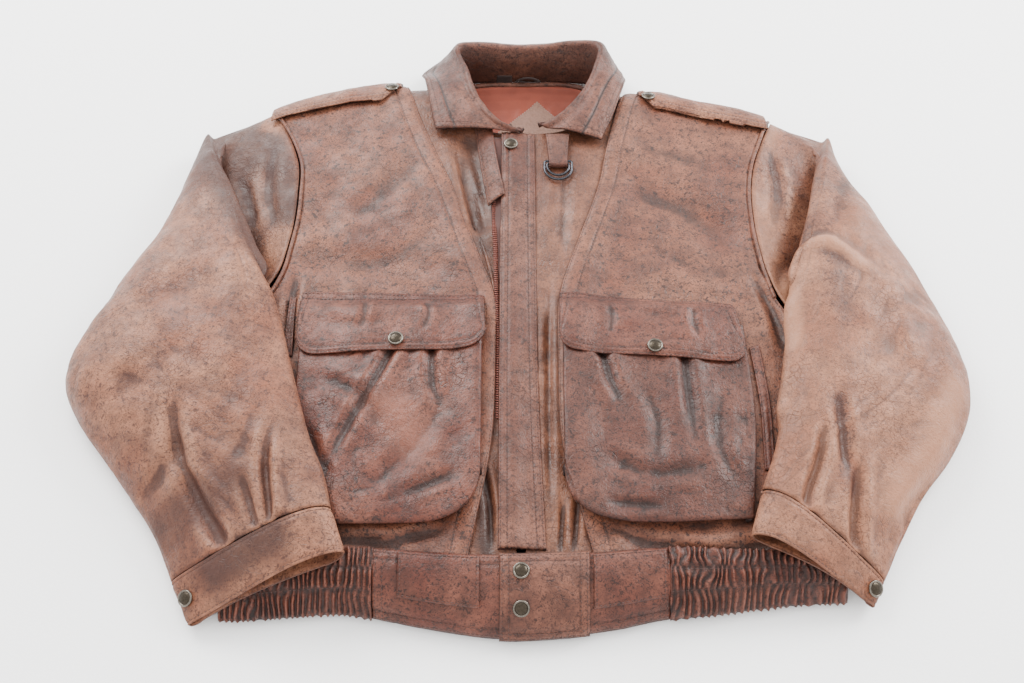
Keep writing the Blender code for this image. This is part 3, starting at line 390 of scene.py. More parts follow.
def cap_rings(spec, side):
    """Closed rings from the armhole down into the cap fold and up to its lip."""
    t = spread(OVER) ** 0.92
    tau = spread(BELOW)[1:-1]
    fold = smooth(t / 0.42)
    arm, lip = curve(spec["arm"], t), curve(spec["lip"], t)
    away = np.array(spec["away"])
    drop = front_z(arm[:, 0] * -side, arm[:, 1])
    drop_lip = np.interp(t, (0, .2, .6, .9, 1), (24, 42, 58, 64, 60))
    back_arm, back_lip = curve(spec["back_arm"], tau), curve(spec["back_lip"], tau)
    shares = np.array([0, .16, .34, .5, .62, .74, .86])
    deep = np.array([0, 4, 12, 40, 41, 11, 0])
    level = np.array([0, .35, .75, .86, .55, .25, 0])
    rings = []
    for i, share in enumerate(shares):
        base = arm * (1 - share / .86) + lip * (share / .86)
        folded = arm + (lip - arm) * (i / 2.35) if i < 3 else lip
        plan = base * (1 - fold[:, None]) + folded * fold[:, None]
        plan = plan + away * (deep[i] * fold)[:, None]
        z_flat = drop * (1 - share / .86) + drop_lip * share / .86
        low = 17.0 + 3.0 * t
        if i < 3:
            z_fold = drop + (low - drop) * level[i] / .86
        elif i == 3:
            z_fold = low
        else:
            z_fold = drop_lip + (low + 9.0 - drop_lip) * (level[i] / .55)
        z = z_flat * (1 - fold) + z_fold * fold
        front = np.concatenate((plan, z[:, None]), axis=1)
        rest = back_arm * (1 - share) + back_lip * share
        back = np.concatenate((rest, np.full((len(tau), 1), 1.2)), axis=1)
        back[:, 2] += (front[-1, 2] - 1.2) * (1 - smooth(tau / 0.5))
        edge = quarter(np.clip((1 - tau) / 0.18, 0, 1))
        back[:, 2] = front[0, 2] + (back[:, 2] - front[0, 2]) * edge
        rings.append(np.concatenate((front, back)))
    return rings


def sleeve_section(o, i, heights, side, across=OVER, under=BELOW):
    """One ring: over the top from the outer edge o to the inner edge i, back underneath."""
    t = spread(across)
    s = (1 - np.cos(np.pi * t)) / 2
    r = (1 - np.cos(np.pi * (1 - spread(under)[1:-1]))) / 2
    width = np.linalg.norm(i - o)
    zo, zi, top_o, top_i, bulge = heights
    over, below = o + (i - o) * s[:, None], o + (i - o) * r[:, None]
    crown = top_o + (top_i - top_o) * smooth(s * 1.15) + bulge * np.sin(np.pi * s)
    z_top = zo + (crown - zo) * quarter(s * width / 46.0)
    z_top = zi + (z_top - zi) * quarter((1 - s) * width / 22.0)
    rest = support(below[:, 0] * -side, below[:, 1])
    p_o, p_i = quarter(r * width / 20.0), quarter((1 - r) * width / 16.0)
    z_low = np.maximum(rest * p_o * p_i + zo * (1 - p_o) + zi * (1 - p_i), rest)
    return np.concatenate((np.column_stack((over, z_top)), np.column_stack((below, z_low))))


def sleeve_grid(side, spec, rows):
    """All rings of a sleeve, then a smooth surface of that many rows through them."""
    rings = cap_rings(spec, side)
    fan = spread(FANS) ** 1.05
    t = spread(OVER) ** 0.92
    seat = curve(spec["lip"], t) + np.array(spec["away"]) * 9.0
    z_seat = np.interp(t, (0, .2, .6, .9, 1), (28, 50, 66, 72, 70))
    outer, inner = curve(spec["outer"], fan), curve(spec["inner"], fan ** 1.5)
    for f, o, i in zip(fan, outer, inner):
        ring = sleeve_section(o, i, [table(f, spec[key]) for key in SECTION], side)
        share = 0.9 * (1 - smooth(f / 0.16))
        ring[:OVER, :2] = ring[:OVER, :2] * (1 - share) + seat * share
        ring[:OVER, 2] = ring[:OVER, 2] * (1 - share) + z_seat * share
        rings.append(ring)
    grid = np.array(rings)
    grid = curve(grid.reshape(len(grid), -1), spread(rows)).reshape(rows, -1, 3)
    grid[..., 0] *= -side
    return grid


def cuff_grid(side, spec, rows):
    """Rings of a cuff from its seam to its mouth."""
    top_o, top_i, low_o, low_i, z_top, z_low = (np.array(part, float) for part in spec)
    grid = np.array([sleeve_section(top_o * (1 - v) + low_o * v, top_i * (1 - v) + low_i * v,
                                    z_top * (1 - v) + z_low * v, side) for v in spread(rows)])
    grid[..., 0] *= -side
    return grid


def collar_grid(around, rows):
    """Stand up from the neck seam, roll over, and fall to the outer edge."""
    seam = [(-12, 242, 50), (-38, 252, 48.5), (-58, 276, 47), (-74, 304, 42), (-84, 328, 30),
            (-60, 345.5, 19), (-30, 348.5, 18), (6, 349.5, 18), (42, 348.5, 18), (76, 344, 19), (98, 322, 29),
            (90, 298, 42), (74, 272, 47), (52, 254, 48.5), (26, 246, 50)]
    roll = [(4, 234, 55), (-22, 245, 59), (-43, 275, 60), (-55, 313, 61), (-65, 354, 60), (-40, 359, 57),
            (-10, 358, 55), (24, 359, 55), (56, 363, 57), (85, 357, 60), (78, 312, 61), (60, 276, 60),
            (38, 251, 59), (30, 246, 57), (20, 243, 55)]
    edge = [(-89, 240, 53), (-94, 264, 54), (-98, 290, 53), (-103, 318, 47), (-108, 352, 24), (-84, 389, 7),
            (-40, 398, 5), (10, 400, 5), (56, 397, 5), (98, 382, 8), (117, 344, 25), (114, 312, 47),
            (108, 288, 53), (98, 254, 54), (86, 223, 54)]
    s = spread(around)
    n, r, e = curve(seam, s), curve(roll, s), curve(edge, s)
    out = e - n
    out[:, 2] = 0
    out /= np.linalg.norm(out, axis=1)[:, None]
    up = np.array([0, 0, 1.0])
    lean = r - n
    start = r + 8.0 * out - 0.4 * up
    lines = [n, n + 0.5 * lean - 1.5 * out, n + 0.86 * lean - 0.8 * out - 1.5 * up, r - 2.0 * up + 0.4 * out,
             r + 3.2 * out + 1.6 * up, start]
    for f in (0.3, 0.62, 1.0):
        lines.append(start * (1 - f) + e * f + up * (3.5 * np.sin(np.pi * f)))
    grid = np.array(lines)
    return curve(grid.reshape(len(grid), -1), spread(rows)).reshape(rows, -1, 3)


def strap_grid(x_root, x_tip, front_edge, along, across):
    """Epaulette wrapped over the rolled shoulder edge."""
    rows = []
    for u in spread(along):
        x = x_root + (x_tip - x_root) * u
        y_edge = table(x, SHOULDER)
        z_top = front_z(np.array([x]), np.array([y_edge - TOP_ROUND]))[0]
        middle = y_edge - 10.0
        reach = (middle - table(x, front_edge)) * (1.0 - 0.72 * smooth((u - 0.84) / 0.16))
        y = np.linspace(middle - reach, y_edge - 0.6, across)
        ang = np.arccos(np.clip(1 - (y_edge - y) / TOP_ROUND, 0, 1))
        normal = np.stack((0 * y, np.cos(ang) / TOP_ROUND, np.sin(ang) / (z_top - EDGE_Z)), -1)
        normal /= np.linalg.norm(normal, axis=1)[:, None]
        point = np.stack((x + 0 * y, y_edge - TOP_ROUND * (1 - np.cos(ang)),
                          EDGE_Z + (z_top - EDGE_Z) * np.sin(ang)), -1)
        rows.append(point + normal * (DOUBLE + 2.4))
    return np.array(rows)


# Materials

class Nodes:
    """Small helper that places and joins shader nodes."""

    def __init__(self, name):
        self.mat = bpy.data.materials.new(name)
        self.mat.use_nodes = True
        self.tree = self.mat.node_tree
        self.shader = self.tree.nodes["Principled BSDF"]
        self.where = self.tree.nodes.new("ShaderNodeTexCoord").outputs["Object"]

    def set(self, socket, value):
        if isinstance(value, bpy.types.NodeSocket):
            self.tree.links.new(value, socket)
        else:
            socket.default_value = value

    def add(self, kind, values=(), **props):
        node = self.tree.nodes.new("ShaderNode" + kind)
        for key, value in props.items():
            setattr(node, key, value)
        for key, value in dict(values).items():
            self.set(node.inputs[key], value)
        return node

    def noise(self, scale, detail=3.0, rough=0.55, vector=None, distortion=0.0):
        return self.add("TexNoise", {"Vector": vector or self.where, "Scale": scale, "Detail": detail,
                                     "Roughness": rough, "Distortion": distortion}).outputs["Fac"]

    def cells(self, scale, feature="F1", vector=None):
        return self.add("TexVoronoi", {"Vector": vector or self.where, "Scale": scale},
                        feature=feature).outputs["Distance"]

    def attribute(self, name):
        return self.add("Attribute", attribute_name=name).outputs["Fac"]

    def math(self, operation, a, b=0.0):
        return self.add("Math", {0: a, 1: b}, operation=operation).outputs[0]

    def range(self, value, low, high, to_low=0.0, to_high=1.0):
        return self.add("MapRange", {"Value": value, "From Min": low, "From Max": high, "To Min": to_low,
                                     "To Max": to_high}, interpolation_type="SMOOTHSTEP").outputs["Result"]

    def mix(self, factor, a, b, blend="MIX"):
        # by number, as the Mix node has several sockets of each name
        node = self.add("Mix", data_type="RGBA", blend_type=blend)
        self.set(node.inputs[0], factor)
        self.set(node.inputs[6], a)
        self.set(node.inputs[7], b)
        return node.outputs[2]


def shade(rgb):
    """Linear colour of an 8-bit screen colour."""
    c = np.array(rgb, float) / 255.0
    c = np.where(c <= 0.04045, c / 12.92, ((c + 0.055) / 1.055) ** 2.4)
    return (*[float(v) for v in c], 1.0)


def leather(name, base, pale, dark, rough=0.5, speckle=0.5, crackle=0.5, gloss=0.3, sheen=0.03):
    """Worn aniline leather: mottled dye, dark pores, cracks, scuffed ridges, painted shade in the valleys,
    and the painted shade and highlights that the tone brings.
    """
    n = Nodes(name)
    wear_and_crease_shade, tone = n.attribute("wear_and_crease_shade"), n.attribute("tone")
    bent = n.add("VectorMath", {0: n.where, 1: n.add("VectorMath", {0: n.add(
        "TexNoise", {"Vector": n.where, "Scale": 90.0, "Detail": 2.0}).outputs["Color"], "Scale": 0.004},
        operation="SCALE").outputs[0]}, operation="ADD").outputs[0]
    broad = n.range(n.noise(14.0, 4.0), 0.32, 0.68)
    patches = n.range(n.noise(46.0, 5.0, 0.65), 0.36, 0.66)
    fine = n.range(n.noise(330.0, 4.0, 0.7), 0.35, 0.7)
    color = n.mix(n.math("MULTIPLY", broad, 0.75), base, pale)
    color = n.mix(n.math("MULTIPLY", patches, 0.48), color, dark)
    color = n.mix(n.math("MULTIPLY", fine, 0.36), color, dark)
    rubbed = n.range(n.noise(38.0, 5.0, 0.7), 0.36, 0.6)
    ridge = n.math("MULTIPLY", n.range(wear_and_crease_shade, 0.58, 0.95), rubbed)
    # valley: painted shade in creases and stitch channels, where the sheet lies below its surroundings;
    # ridge: scuffs on the raised parts
    valley = n.range(wear_and_crease_shade, 0.45, 0.16)
    color = n.mix(n.math("MULTIPLY", ridge, 0.55), color, pale)
    color = n.mix(n.math("MULTIPLY", valley, 0.75), color, dark)
    pores = n.range(n.cells(520.0, vector=bent), 0.46, 0.16)
    pores = n.math("MULTIPLY", pores, n.range(n.noise(60.0, 4.0, 0.7), 0.30, 0.58))
    color = n.mix(n.math("MULTIPLY", pores, speckle), color, dark)
    specks = n.range(n.noise(210.0, 2.0, 0.8, distortion=0.5), 0.54, 0.66)
    color = n.mix(n.math("MULTIPLY", specks, speckle), color, dark)
    cracks = n.range(n.cells(150.0, "DISTANCE_TO_EDGE", bent), 0.055, 0.0)
    cracks = n.math("MULTIPLY", cracks, n.range(n.noise(24.0, 3.0), 0.45, 0.68))
    color = n.mix(n.math("MULTIPLY", cracks, crackle), color, dark)
    # the tone brings painted shade and painted highlights as well as worn patches and other darker or lighter
    # tone
    painted_shade_and_dark_tone = n.range(tone, 0.5, 0.0)
    light = n.range(tone, 0.5, 1.0)
    color = n.mix(n.math("MULTIPLY", painted_shade_and_dark_tone, 0.85), color, dark)
    color = n.mix(n.math("MULTIPLY", light, 0.7), color, pale)
    n.set(n.shader.inputs["Base Color"], color)
    polish = n.range(n.noise(60.0, 4.0, 0.6), 0.3, 0.7, rough - 0.10, rough + 0.12)
    n.set(n.shader.inputs["Roughness"], n.math("SUBTRACT", polish, n.math("MULTIPLY", ridge, 0.10)))
    n.shader.inputs["Specular IOR Level"].default_value = gloss
    n.shader.inputs["Sheen Weight"].default_value = sheen
    n.shader.inputs["Sheen Roughness"].default_value = 0.45
    grain = n.math("MULTIPLY", n.cells(760.0, "SMOOTH_F1", bent), 0.55)
    grain = n.math("ADD", grain, n.math("MULTIPLY", n.noise(260.0, 5.0, 0.65), 1.2))
    grain = n.math("ADD", grain, n.math("MULTIPLY", n.noise(75.0, 4.0, 0.6, distortion=0.8), 1.6))
    grain = n.math("SUBTRACT", grain, n.math("MULTIPLY", cracks, 0.8))
    bumped = n.add("Bump", {"Height": grain, "Strength": 0.55, "Distance": 0.0009})
    n.set(n.shader.inputs["Normal"], bumped.outputs["Normal"])
    return n.mat


def plain(name, color, dark, rough, metallic=0.0, scale=400.0, strength=0.3, sheen=0.0):
    """Thread, tape, cloth or metal with a fine mottling and bump."""
    n = Nodes(name)
    mottle = n.range(n.noise(scale, 4.0, 0.6), 0.35, 0.7)
    n.set(n.shader.inputs["Base Color"], n.mix(n.math("MULTIPLY", mottle, 0.6), color, dark))
    n.set(n.shader.inputs["Roughness"], n.range(n.noise(scale * 0.5), 0.3, 0.7, rough - 0.06, rough + 0.08))
    n.shader.inputs["Metallic"].default_value = metallic
    n.shader.inputs["Sheen Weight"].default_value = sheen
    bumped = n.add("Bump", {"Height": mottle, "Strength": strength, "Distance": 0.0003})
    n.set(n.shader.inputs["Normal"], bumped.outputs["Normal"])
    return n.mat


def woven(name, color, dark, rough, pitch=1700.0, sheen=0.3):
    """Cloth with a fine diagonal weave."""
    n = Nodes(name)
    wave = n.add("TexWave", {"Vector": n.where, "Scale": pitch / 6.0, "Distortion": 0.6, "Detail": 1.0},
                 bands_direction="DIAGONAL").outputs["Fac"]
    mottle = n.range(n.noise(60.0, 4.0), 0.35, 0.7)
    color = n.mix(n.math("MULTIPLY", wave, 0.25), color, dark)
    n.set(n.shader.inputs["Base Color"], n.mix(n.math("MULTIPLY", mottle, 0.35), color, dark))
    n.shader.inputs["Roughness"].default_value = rough
    n.shader.inputs["Specular IOR Level"].default_value = 0.2
    n.shader.inputs["Sheen Weight"].default_value = sheen
    bumped = n.add("Bump", {"Height": wave, "Strength": 0.25, "Distance": 0.0002})
    n.set(n.shader.inputs["Normal"], bumped.outputs["Normal"])
    return n.mat


# base, pale, dark, roughness, speckle, crackle, gloss
LEATHERS = {
    "sleeve_leather": ((115, 66, 44), (148, 101, 76), (46, 21, 14), 0.52, 0.70, 0.5, 0.28),
    "panel_leather": ((97, 51, 34), (128, 80, 58), (30, 13, 8), 0.52, 0.85, 0.6, 0.30),
    "smooth_leather": ((90, 50, 33), (120, 76, 55), (34, 16, 11), 0.44, 0.45, 0.4, 0.28),
    "dark_leather": ((80, 38, 27), (114, 68, 53), (20, 8, 6), 0.44, 0.75, 0.6, 0.24),
    "collar_leather": ((82, 43, 31), (116, 74, 58), (26, 11, 8), 0.48, 0.70, 0.5, 0.24),
}
SLEEVE, CHEST, CENTRE, DARK, COLLAR = (
    leather(name, *(shade(rgb) for rgb in row[:3]), *row[3:]) for name, row in LEATHERS.items())
THREAD = plain("thread", shade((62, 36, 28)), shade((36, 20, 16)), 0.6, scale=900.0)
SATIN = woven("rust_satin", shade((124, 56, 39)), shade((82, 32, 21)), 0.36, sheen=0.1)
SUEDE = plain("tan_suede", shade((116, 82, 66)), shade((84, 56, 44)), 0.8, scale=500.0, sheen=0.3)
TAPE = woven("dark_tape", shade((44, 32, 29)), shade((26, 18, 17)), 0.75, 2600.0, 0.1)
ZIP_TAPE = woven("zip_tape", shade((66, 34, 27)), shade((42, 20, 17)), 0.6, 2600.0, 0.1)
TEETH = plain("zip_teeth", shade((104, 52, 40)), shade((70, 34, 27)), 0.35, 0.4, 900.0, 0.1)
NICKEL = plain("snap_metal", shade((104, 98, 90)), shade((60, 55, 50)), 0.30, 1.0, 700.0, 0.15)
BRONZE = plain("snap_centre", shade((60, 54, 46)), shade((34, 30, 26)), 0.34, 1.0, 700.0, 0.15)
GUNMETAL = plain("ring_metal", shade((66, 66, 70)), shade((36, 36, 39)), 0.26, 1.0, 700.0, 0.1)


# Pieces

def named(kind, side):
    """Name of the left (side -1) or the right (side 1) one of a pair."""
    return kind + ("_left" if side < 0 else "_right")


def grid_normals(grid, flip, closed):
    """Unit normals of a grid of points, turned over by flip."""
    along = np.gradient(grid, axis=0)
    if closed:
        across = (np.roll(grid, -1, axis=1) - np.roll(grid, 1, axis=1)) / 2
    else:
        across = np.gradient(grid, axis=1)
    n = np.cross(across, along)
    n /= np.linalg.norm(n, axis=2)[..., None] + 1e-9
    return -n if flip else n


def arcs(grid):
    """Distance along the columns and along the rows from the first of each, in mm."""
    across = np.linalg.norm(np.diff(grid, axis=1), axis=2)
    along = np.linalg.norm(np.diff(grid, axis=0), axis=2)
    rows, cols = grid.shape[:2]
    u = np.concatenate((np.zeros((rows, 1)), np.cumsum(across, axis=1)), axis=1)
    v = np.concatenate((np.zeros((1, cols)), np.cumsum(along, axis=0)), axis=0)
    return u, v


def edge_gap(grid, sides):
    """Distance to the nearest of the named edges, measured along the sheet."""
    u, v = arcs(grid)
    gaps = {"left": u, "right": u[:, -1:] - u, "bottom": v, "top": v[-1:] - v}
    best = np.full(grid.shape[:2], 1e9)
    for side in sides:
        best = np.minimum(best, gaps[side])
    return best


def relief(h, closed, passes=5):
    """How far each point stands over its surroundings, as 0 (valley) to 1 (ridge)."""
    mean = h.copy()
    for _ in range(passes):
        pad = np.pad(mean, ((1, 1), (0, 0)), mode="edge")
        side = np.pad(mean, ((0, 0), (1, 1)), mode="wrap" if closed else "edge")
        mean = (pad[:-2] + pad[2:] + side[:, :-2] + side[:, 2:]) / 4
    return 0.5 + 0.5 * np.tanh((h - mean) * 1.3)


def join_grid(rows, cols, closed, ends_meet=False):
    """Quads between the points of a grid; closed joins its last column to its first."""
    ids = np.arange(rows * cols).reshape(rows, cols)
    if closed:
        ids = np.concatenate((ids, ids[:, :1]), axis=1)
    if ends_meet:
        ids = np.concatenate((ids, ids[:1]), axis=0)
    return np.stack((ids[:-1, :-1], ids[:-1, 1:], ids[1:, 1:], ids[1:, :-1]), axis=-1).reshape(-1, 4)


def build_mesh(name, verts, faces, mat, smooth_faces=True, wear_and_crease_shade=0.5, tone=0.5):
    """Mesh object from millimetres, with the relief and the tone that its material reads."""
    mesh = bpy.data.meshes.new(name)
    mesh.vertices.add(len(verts))
    mesh.vertices.foreach_set("co", (np.asarray(verts, float) * MM).ravel())
    faces = np.asarray(faces)
    size = faces.shape[1]
    mesh.loops.add(faces.size)
    mesh.loops.foreach_set("vertex_index", faces.ravel())
    mesh.polygons.add(len(faces))
    mesh.polygons.foreach_set("loop_start", np.arange(0, faces.size, size))
    mesh.polygons.foreach_set("loop_total", np.full(len(faces), size))
    if smooth_faces:
        mesh.polygons.foreach_set("use_smooth", np.ones(len(faces), bool))
    mesh.update()
    mesh.validate()
    for key, values in (("wear_and_crease_shade", wear_and_crease_shade), ("tone", tone)):
        attribute = mesh.attributes.new(key, "FLOAT", "POINT")
        attribute.data.foreach_set("value", np.broadcast_to(values, len(verts)).astype(np.float32))
    obj = bpy.data.objects.new(name, mesh)
    bpy.context.scene.collection.objects.link(obj)
    mesh.materials.append(mat)
    return obj


def place(obj, nodes=(), body=BODY):
    """Puts a piece on its body and in the place of its solids."""
    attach(obj, body)
    if nodes:
        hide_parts(*nodes)


def cloth(name, grid, wall, mat, nodes=(), flip=False, closed=False, height=0.0, tone=0.5):
    """One sheet on its form, with its relief and the attributes that its material reads; returns the embossed
    grid and its normals.
    """
    n = grid_normals(grid, flip, closed)
    height = np.broadcast_to(height, grid.shape[:2])
    done = grid + n * height[..., None]
    # where the outer face looks up, the wall hangs below it, so it needs its thickness above the table
    done[..., 2] = np.maximum(done[..., 2], 1.1 * wall * smooth((n[..., 2] + 0.3) / 0.3))
    quads = join_grid(*grid.shape[:2], closed)
    if flip:
        quads = quads[:, ::-1]
    level = np.broadcast_to(np.clip(tone, 0, 1), grid.shape[:2]).ravel()
    obj = build_mesh(name + "_skin", done.reshape(-1, 3), quads, mat, wear_and_crease_shade=relief(height, closed).ravel(),
                     tone=level)
    solid = obj.modifiers.new("wall", "SOLIDIFY")
    solid.thickness = wall * MM
    solid.offset = -1.0
    place(obj, nodes)
    return done, grid_normals(done, flip, closed)


STITCHES = {}
ALL_SIDES = "left right top bottom"


def stitch(done, normal, sides, *insets, group="thread", first=0.0, last=1.0):
    """Rows of stitches at given distances inside the named edges of a finished sheet."""
    for side in sides.split():
        g, n = done, normal
        if side in ("top", "bottom"):
            g, n = np.swapaxes(g, 0, 1), np.swapaxes(n, 0, 1)
        if side in ("right", "top"):
            g, n = g[:, ::-1], n[:, ::-1]
        u, pick = arcs(g)[0], np.arange(len(g))
        for inset in insets:
            hit = np.clip((u < inset).sum(axis=1) - 1, 0, g.shape[1] - 2)
            f = (inset - u[pick, hit]) / (u[pick, hit + 1] - u[pick, hit] + 1e-9)
            f = np.clip(f, 0, 1)[:, None]
            line = [part[pick, hit] * (1 - f) + part[pick, hit + 1] * f for part in (g, n)]
            put_stitches(*line, group, first, last)


def put_stitches(p, q, group, first=0.0, last=1.0, pitch=STITCH_PITCH):
    """Stitches along a line of points p with the leather's normals q there."""
    run = np.concatenate(([0.0], np.cumsum(np.linalg.norm(np.diff(p, axis=0), axis=1))))
    count = max(int(run[-1] * (last - first) / pitch), 1)
    at = run[-1] * first + (np.arange(count) + 0.5) * pitch
    at = at[at < run[-1] * last]

    def along(share, rows):
        return np.stack([np.interp(share, run, rows[:, k]) for k in range(3)], -1)

    ahead, up = along(at + 0.8, p) - along(at - 0.8, p), along(at, q)
    ahead /= np.linalg.norm(ahead, axis=1)[:, None] + 1e-9
    up /= np.linalg.norm(up, axis=1)[:, None] + 1e-9
    STITCHES.setdefault(group, []).append((along(at, p), ahead, up))


def sew(group, length=2.9, thick=0.62):
    """Joins every stitch of a group into one mesh of small eight-sided grains of thread."""
    at, ahead, up = (np.concatenate(part) for part in zip(*STITCHES[group]))
    side = np.cross(ahead, up)
    shape = [(-0.5, 0, 0)]
    for along in (-0.32, 0.32):
        shape += [(along, 1, 0), (along, 0, 1), (along, -1, 0), (along, 0, -1)]
    shape.append((0.5, 0, 0))
    shape = np.array(shape) * (length, thick / 2, thick / 2)
    verts = (at[:, None] + shape[None, :, :1] * ahead[:, None] + shape[None, :, 1:2] * side[:, None]
             + (shape[None, :, 2:] + 0.08) * up[:, None]).reshape(-1, 3)
    tris = []
    for k in range(4):
        m = (k + 1) % 4
        tris += [(0, 1 + k, 1 + m), (1 + k, 5 + k, 5 + m), (1 + k, 5 + m, 1 + m), (9, 5 + m, 5 + k)]
    faces = (np.arange(len(at))[:, None, None] * len(shape) + np.array(tris)[None]).reshape(-1, 3)
    place(build_mesh(group, verts, faces, THREAD))


def seam_press(gap, *insets, depth=0.755, width=1.5):
    """Shallow channels where rows of stitches pull the leather down."""
    h = np.zeros(gap.shape)
    for inset in insets:
        h -= depth * np.exp(-((gap - inset) / width) ** 2)
    return h


def rolled(gap, radius=1.6):
    """Edge of a sheet rolling down over its last bit."""
    return -radius * 0.8 * (1.0 - quarter(gap / radius))


def between(count, breaks):
    """Shares spread evenly by index between the given breaks, so that no break is lost."""
    return np.interp(spread(count), spread(len(breaks)), breaks)


def lift_to(xy, z):
    """Plan points with their heights."""
    return np.concatenate((xy, z[..., None]), axis=-1)


# Body

def back():
    """Back panel, flat on the table, its sides and top curled up."""
    left = [(-262, FRONT_END), (-284, -150), (-305, -15), (-286, 20), (-264, 70), (-254, 150),
            (-260, 230), (-273, 287)]
    right = [(284, FRONT_END), (296, -150), (308, -28), (290, 10), (272, 60), (260, 150), (262, 220),
             (273, 276)]
    top = [(-273, 287), (-219, 311), (-150, 330), (-103, 332), (-88, 334), (-60, 341), (6, 345), (72, 339),
           (100, 322), (114, 319), (155, 316), (198, 301), (273, 276)]
    us = between(110, [0, .006, .024, .08, .18, .28, .34, .4, .5, .6, .66, .72, .82, .92, .976, .994, 1])
    vs = between(90, [0, .15, .3, .4, .46, .52, .6, .7, .8, .9, .955, .98, 1])
    xy = coons([(-262, FRONT_END), (284, FRONT_END)], top, left, right, us, vs)
    u, v = np.meshgrid(us, vs)
    y = xy[..., 1]
    side = np.minimum(u, 1 - u) * 575.0
    reach = BACK_CURL - EDGE_DROP * toward_hem(y)
    curl = smooth((25.0 - y) / 40.0) * reach * (1.0 - quarter(side / BACK_CURL))
    rise = BACK_CURL * (1.0 - quarter((1 - v) * 600.0 / BACK_CURL))
    grid = lift_to(xy, np.maximum(curl, rise))
    h = -0.5 * noise(xy[..., 0], y, 30.0, 5) * smooth((grid[..., 2] - 3.0) / 6.0)
    cloth("back_panel", grid, WALL, CHEST, ["back_panel"], flip=True, height=h)


def side_front(side, arm, seam, top, creases, tones):
    """Grained panel from the armhole to its topstitched front edge."""
    name = named("side_front", side)
    us = between(104, [0, .025, .08, .18, .3, .44, .58, .72, .84, .93, 1])
    vs = between(196, [0, .14, .28, .40, .45, .54, .7, .86, .95, .98, 1])
    u, v = np.meshgrid(us, vs)
    high = curve(top, us)
    y = FRONT_END + v * (high[None, :, 1] - FRONT_END)
    x = table(y, arm) * (1 - u) + table(y, seam) * u
    x = np.where(v == 1, high[None, :, 0], x)
    grid = lift_to(np.stack((x, y), -1), outer_z(x, y))
    seam_gap = edge_gap(grid, ["right"])
    arm_gap = edge_gap(grid, ["left", "top"])
    h = folds(x, y, creases)
    blouse = smooth((-190.0 - y) / 40.0)
    h += hide(x, y, 20 + side, 0.7, 0.55) + 0.9 * blouse * (noise(x, y, 16.0, 31) - 0.5)
    h += seam_press(seam_gap, 2.2, 17.0, depth=0.8) + rolled(seam_gap, 2.0)
    h += 0.7 * np.exp(-((seam_gap - 9.5) / 6.0) ** 2)
    h += seam_press(arm_gap, 3.0, depth=0.75) + rolled(arm_gap, 2.2)
    tone = 0.5 + np.where(seam_gap < 18, 0.10, -0.04) + tones(x, y)
    done, normal = cloth(name, grid, WALL, CHEST, [name], flip=side > 0, height=h, tone=tone)
    stitch(done, normal, "right", 2.4, 16.8)
    stitch(done, normal, "left", 3.2, first=0.42)


def piping(side, arm, first, last):
    """Corded seam that follows the armhole, where the sleeve's cap meets the side front."""
    y = np.linspace(first, last, 90)
    x = table(y, arm) - side * 0.9
    path = np.stack((x, y, outer_z(x, y) + 0.7), -1)
    place(tube(named("armhole_cord", side), path, 1.9, CHEST, False, 10))


def centre_front(side, seam, edge_x, neck, creases, tones):
    """Smooth panel from the placket to under the side front's edge."""
    name = named("centre_front", side)
    ys = spread(9)
    line = np.stack((table(FRONT_END + ys * 595.0, seam) + side * 9.0, FRONT_END + ys * 595.0), -1)
    line[-1] = neck[0]
    vs = between(200, [0, .2, .4, .6, .8, .9, .94, .97, 1])
    xy = coons([line[0], (edge_x, FRONT_END)], neck, line, [(edge_x, FRONT_END), neck[-1]], spread(46), vs)
    x, y = xy[..., 0], xy[..., 1]
    grid = lift_to(xy, front_z(x, y + 2.6 * smooth((y - 285.0) / 25.0)))
    low = smooth((-150.0 - y) / 90.0)
    h = folds(x, y, creases) + hide(x, y, 40 + side, 0.8, 0.6)
    h += 1.1 * low * (ridged(x, y * 0.22, 11.0, 44) - 0.45)
    cloth(name, grid, WALL, CENTRE, [name], flip=side > 0, height=h, tone=0.5 + tones(x, y))


def strip(name, left, right, lift, wall, mat, rows, cols, seams=(), flip=False, extra=0.25, seed=3):
    """Long narrow sheet on the body front between two plan lines."""
    xy = coons([left[0], right[0]], [left[-1], right[-1]], left, right, spread(cols), spread(rows))
    x, y = xy[..., 0], xy[..., 1]
    grid = lift_to(xy, front_z(x, y) + lift(x, y))
    gap = edge_gap(grid, ["left", "right"])
    ends = edge_gap(grid, ["top", "bottom"])
    h = hide(x, y, seed, 0.3, extra) + seam_press(gap, *seams, depth=0.75, width=1.3)
    h += rolled(np.minimum(gap, ends), 1.2)
    return cloth(name, grid, wall, mat, [name], flip=flip, height=h)


def placket():
    """Front placket with its double rows of stitches, and the zip's tape beside it."""
    left = [(-20, -250), (-20.5, -100), (-20, 50), (-19, 236)]
    right = [(22, -250), (17, -100), (16, 50), (16, 237)]
    done, normal = strip("placket", left, right, placket_lift, STRAP, COLLAR, 200, 34,
                         seams=(2.0, 8.0), extra=0.42, seed=7)
    stitch(done, normal, "left right", 2.2, 8.2)
    left = [(-20.5, -250), (-20.5, -100), (-20.5, 30), (-29, 110), (-30, 231)]
    right = [(-9, -250), (-9, -100), (-9, 50), (-9, 231)]
    strip("zip_strip", left, right, lambda x, y: LIFT + 0 * x, WALL, ZIP_TAPE, 120, 10, extra=0.1)


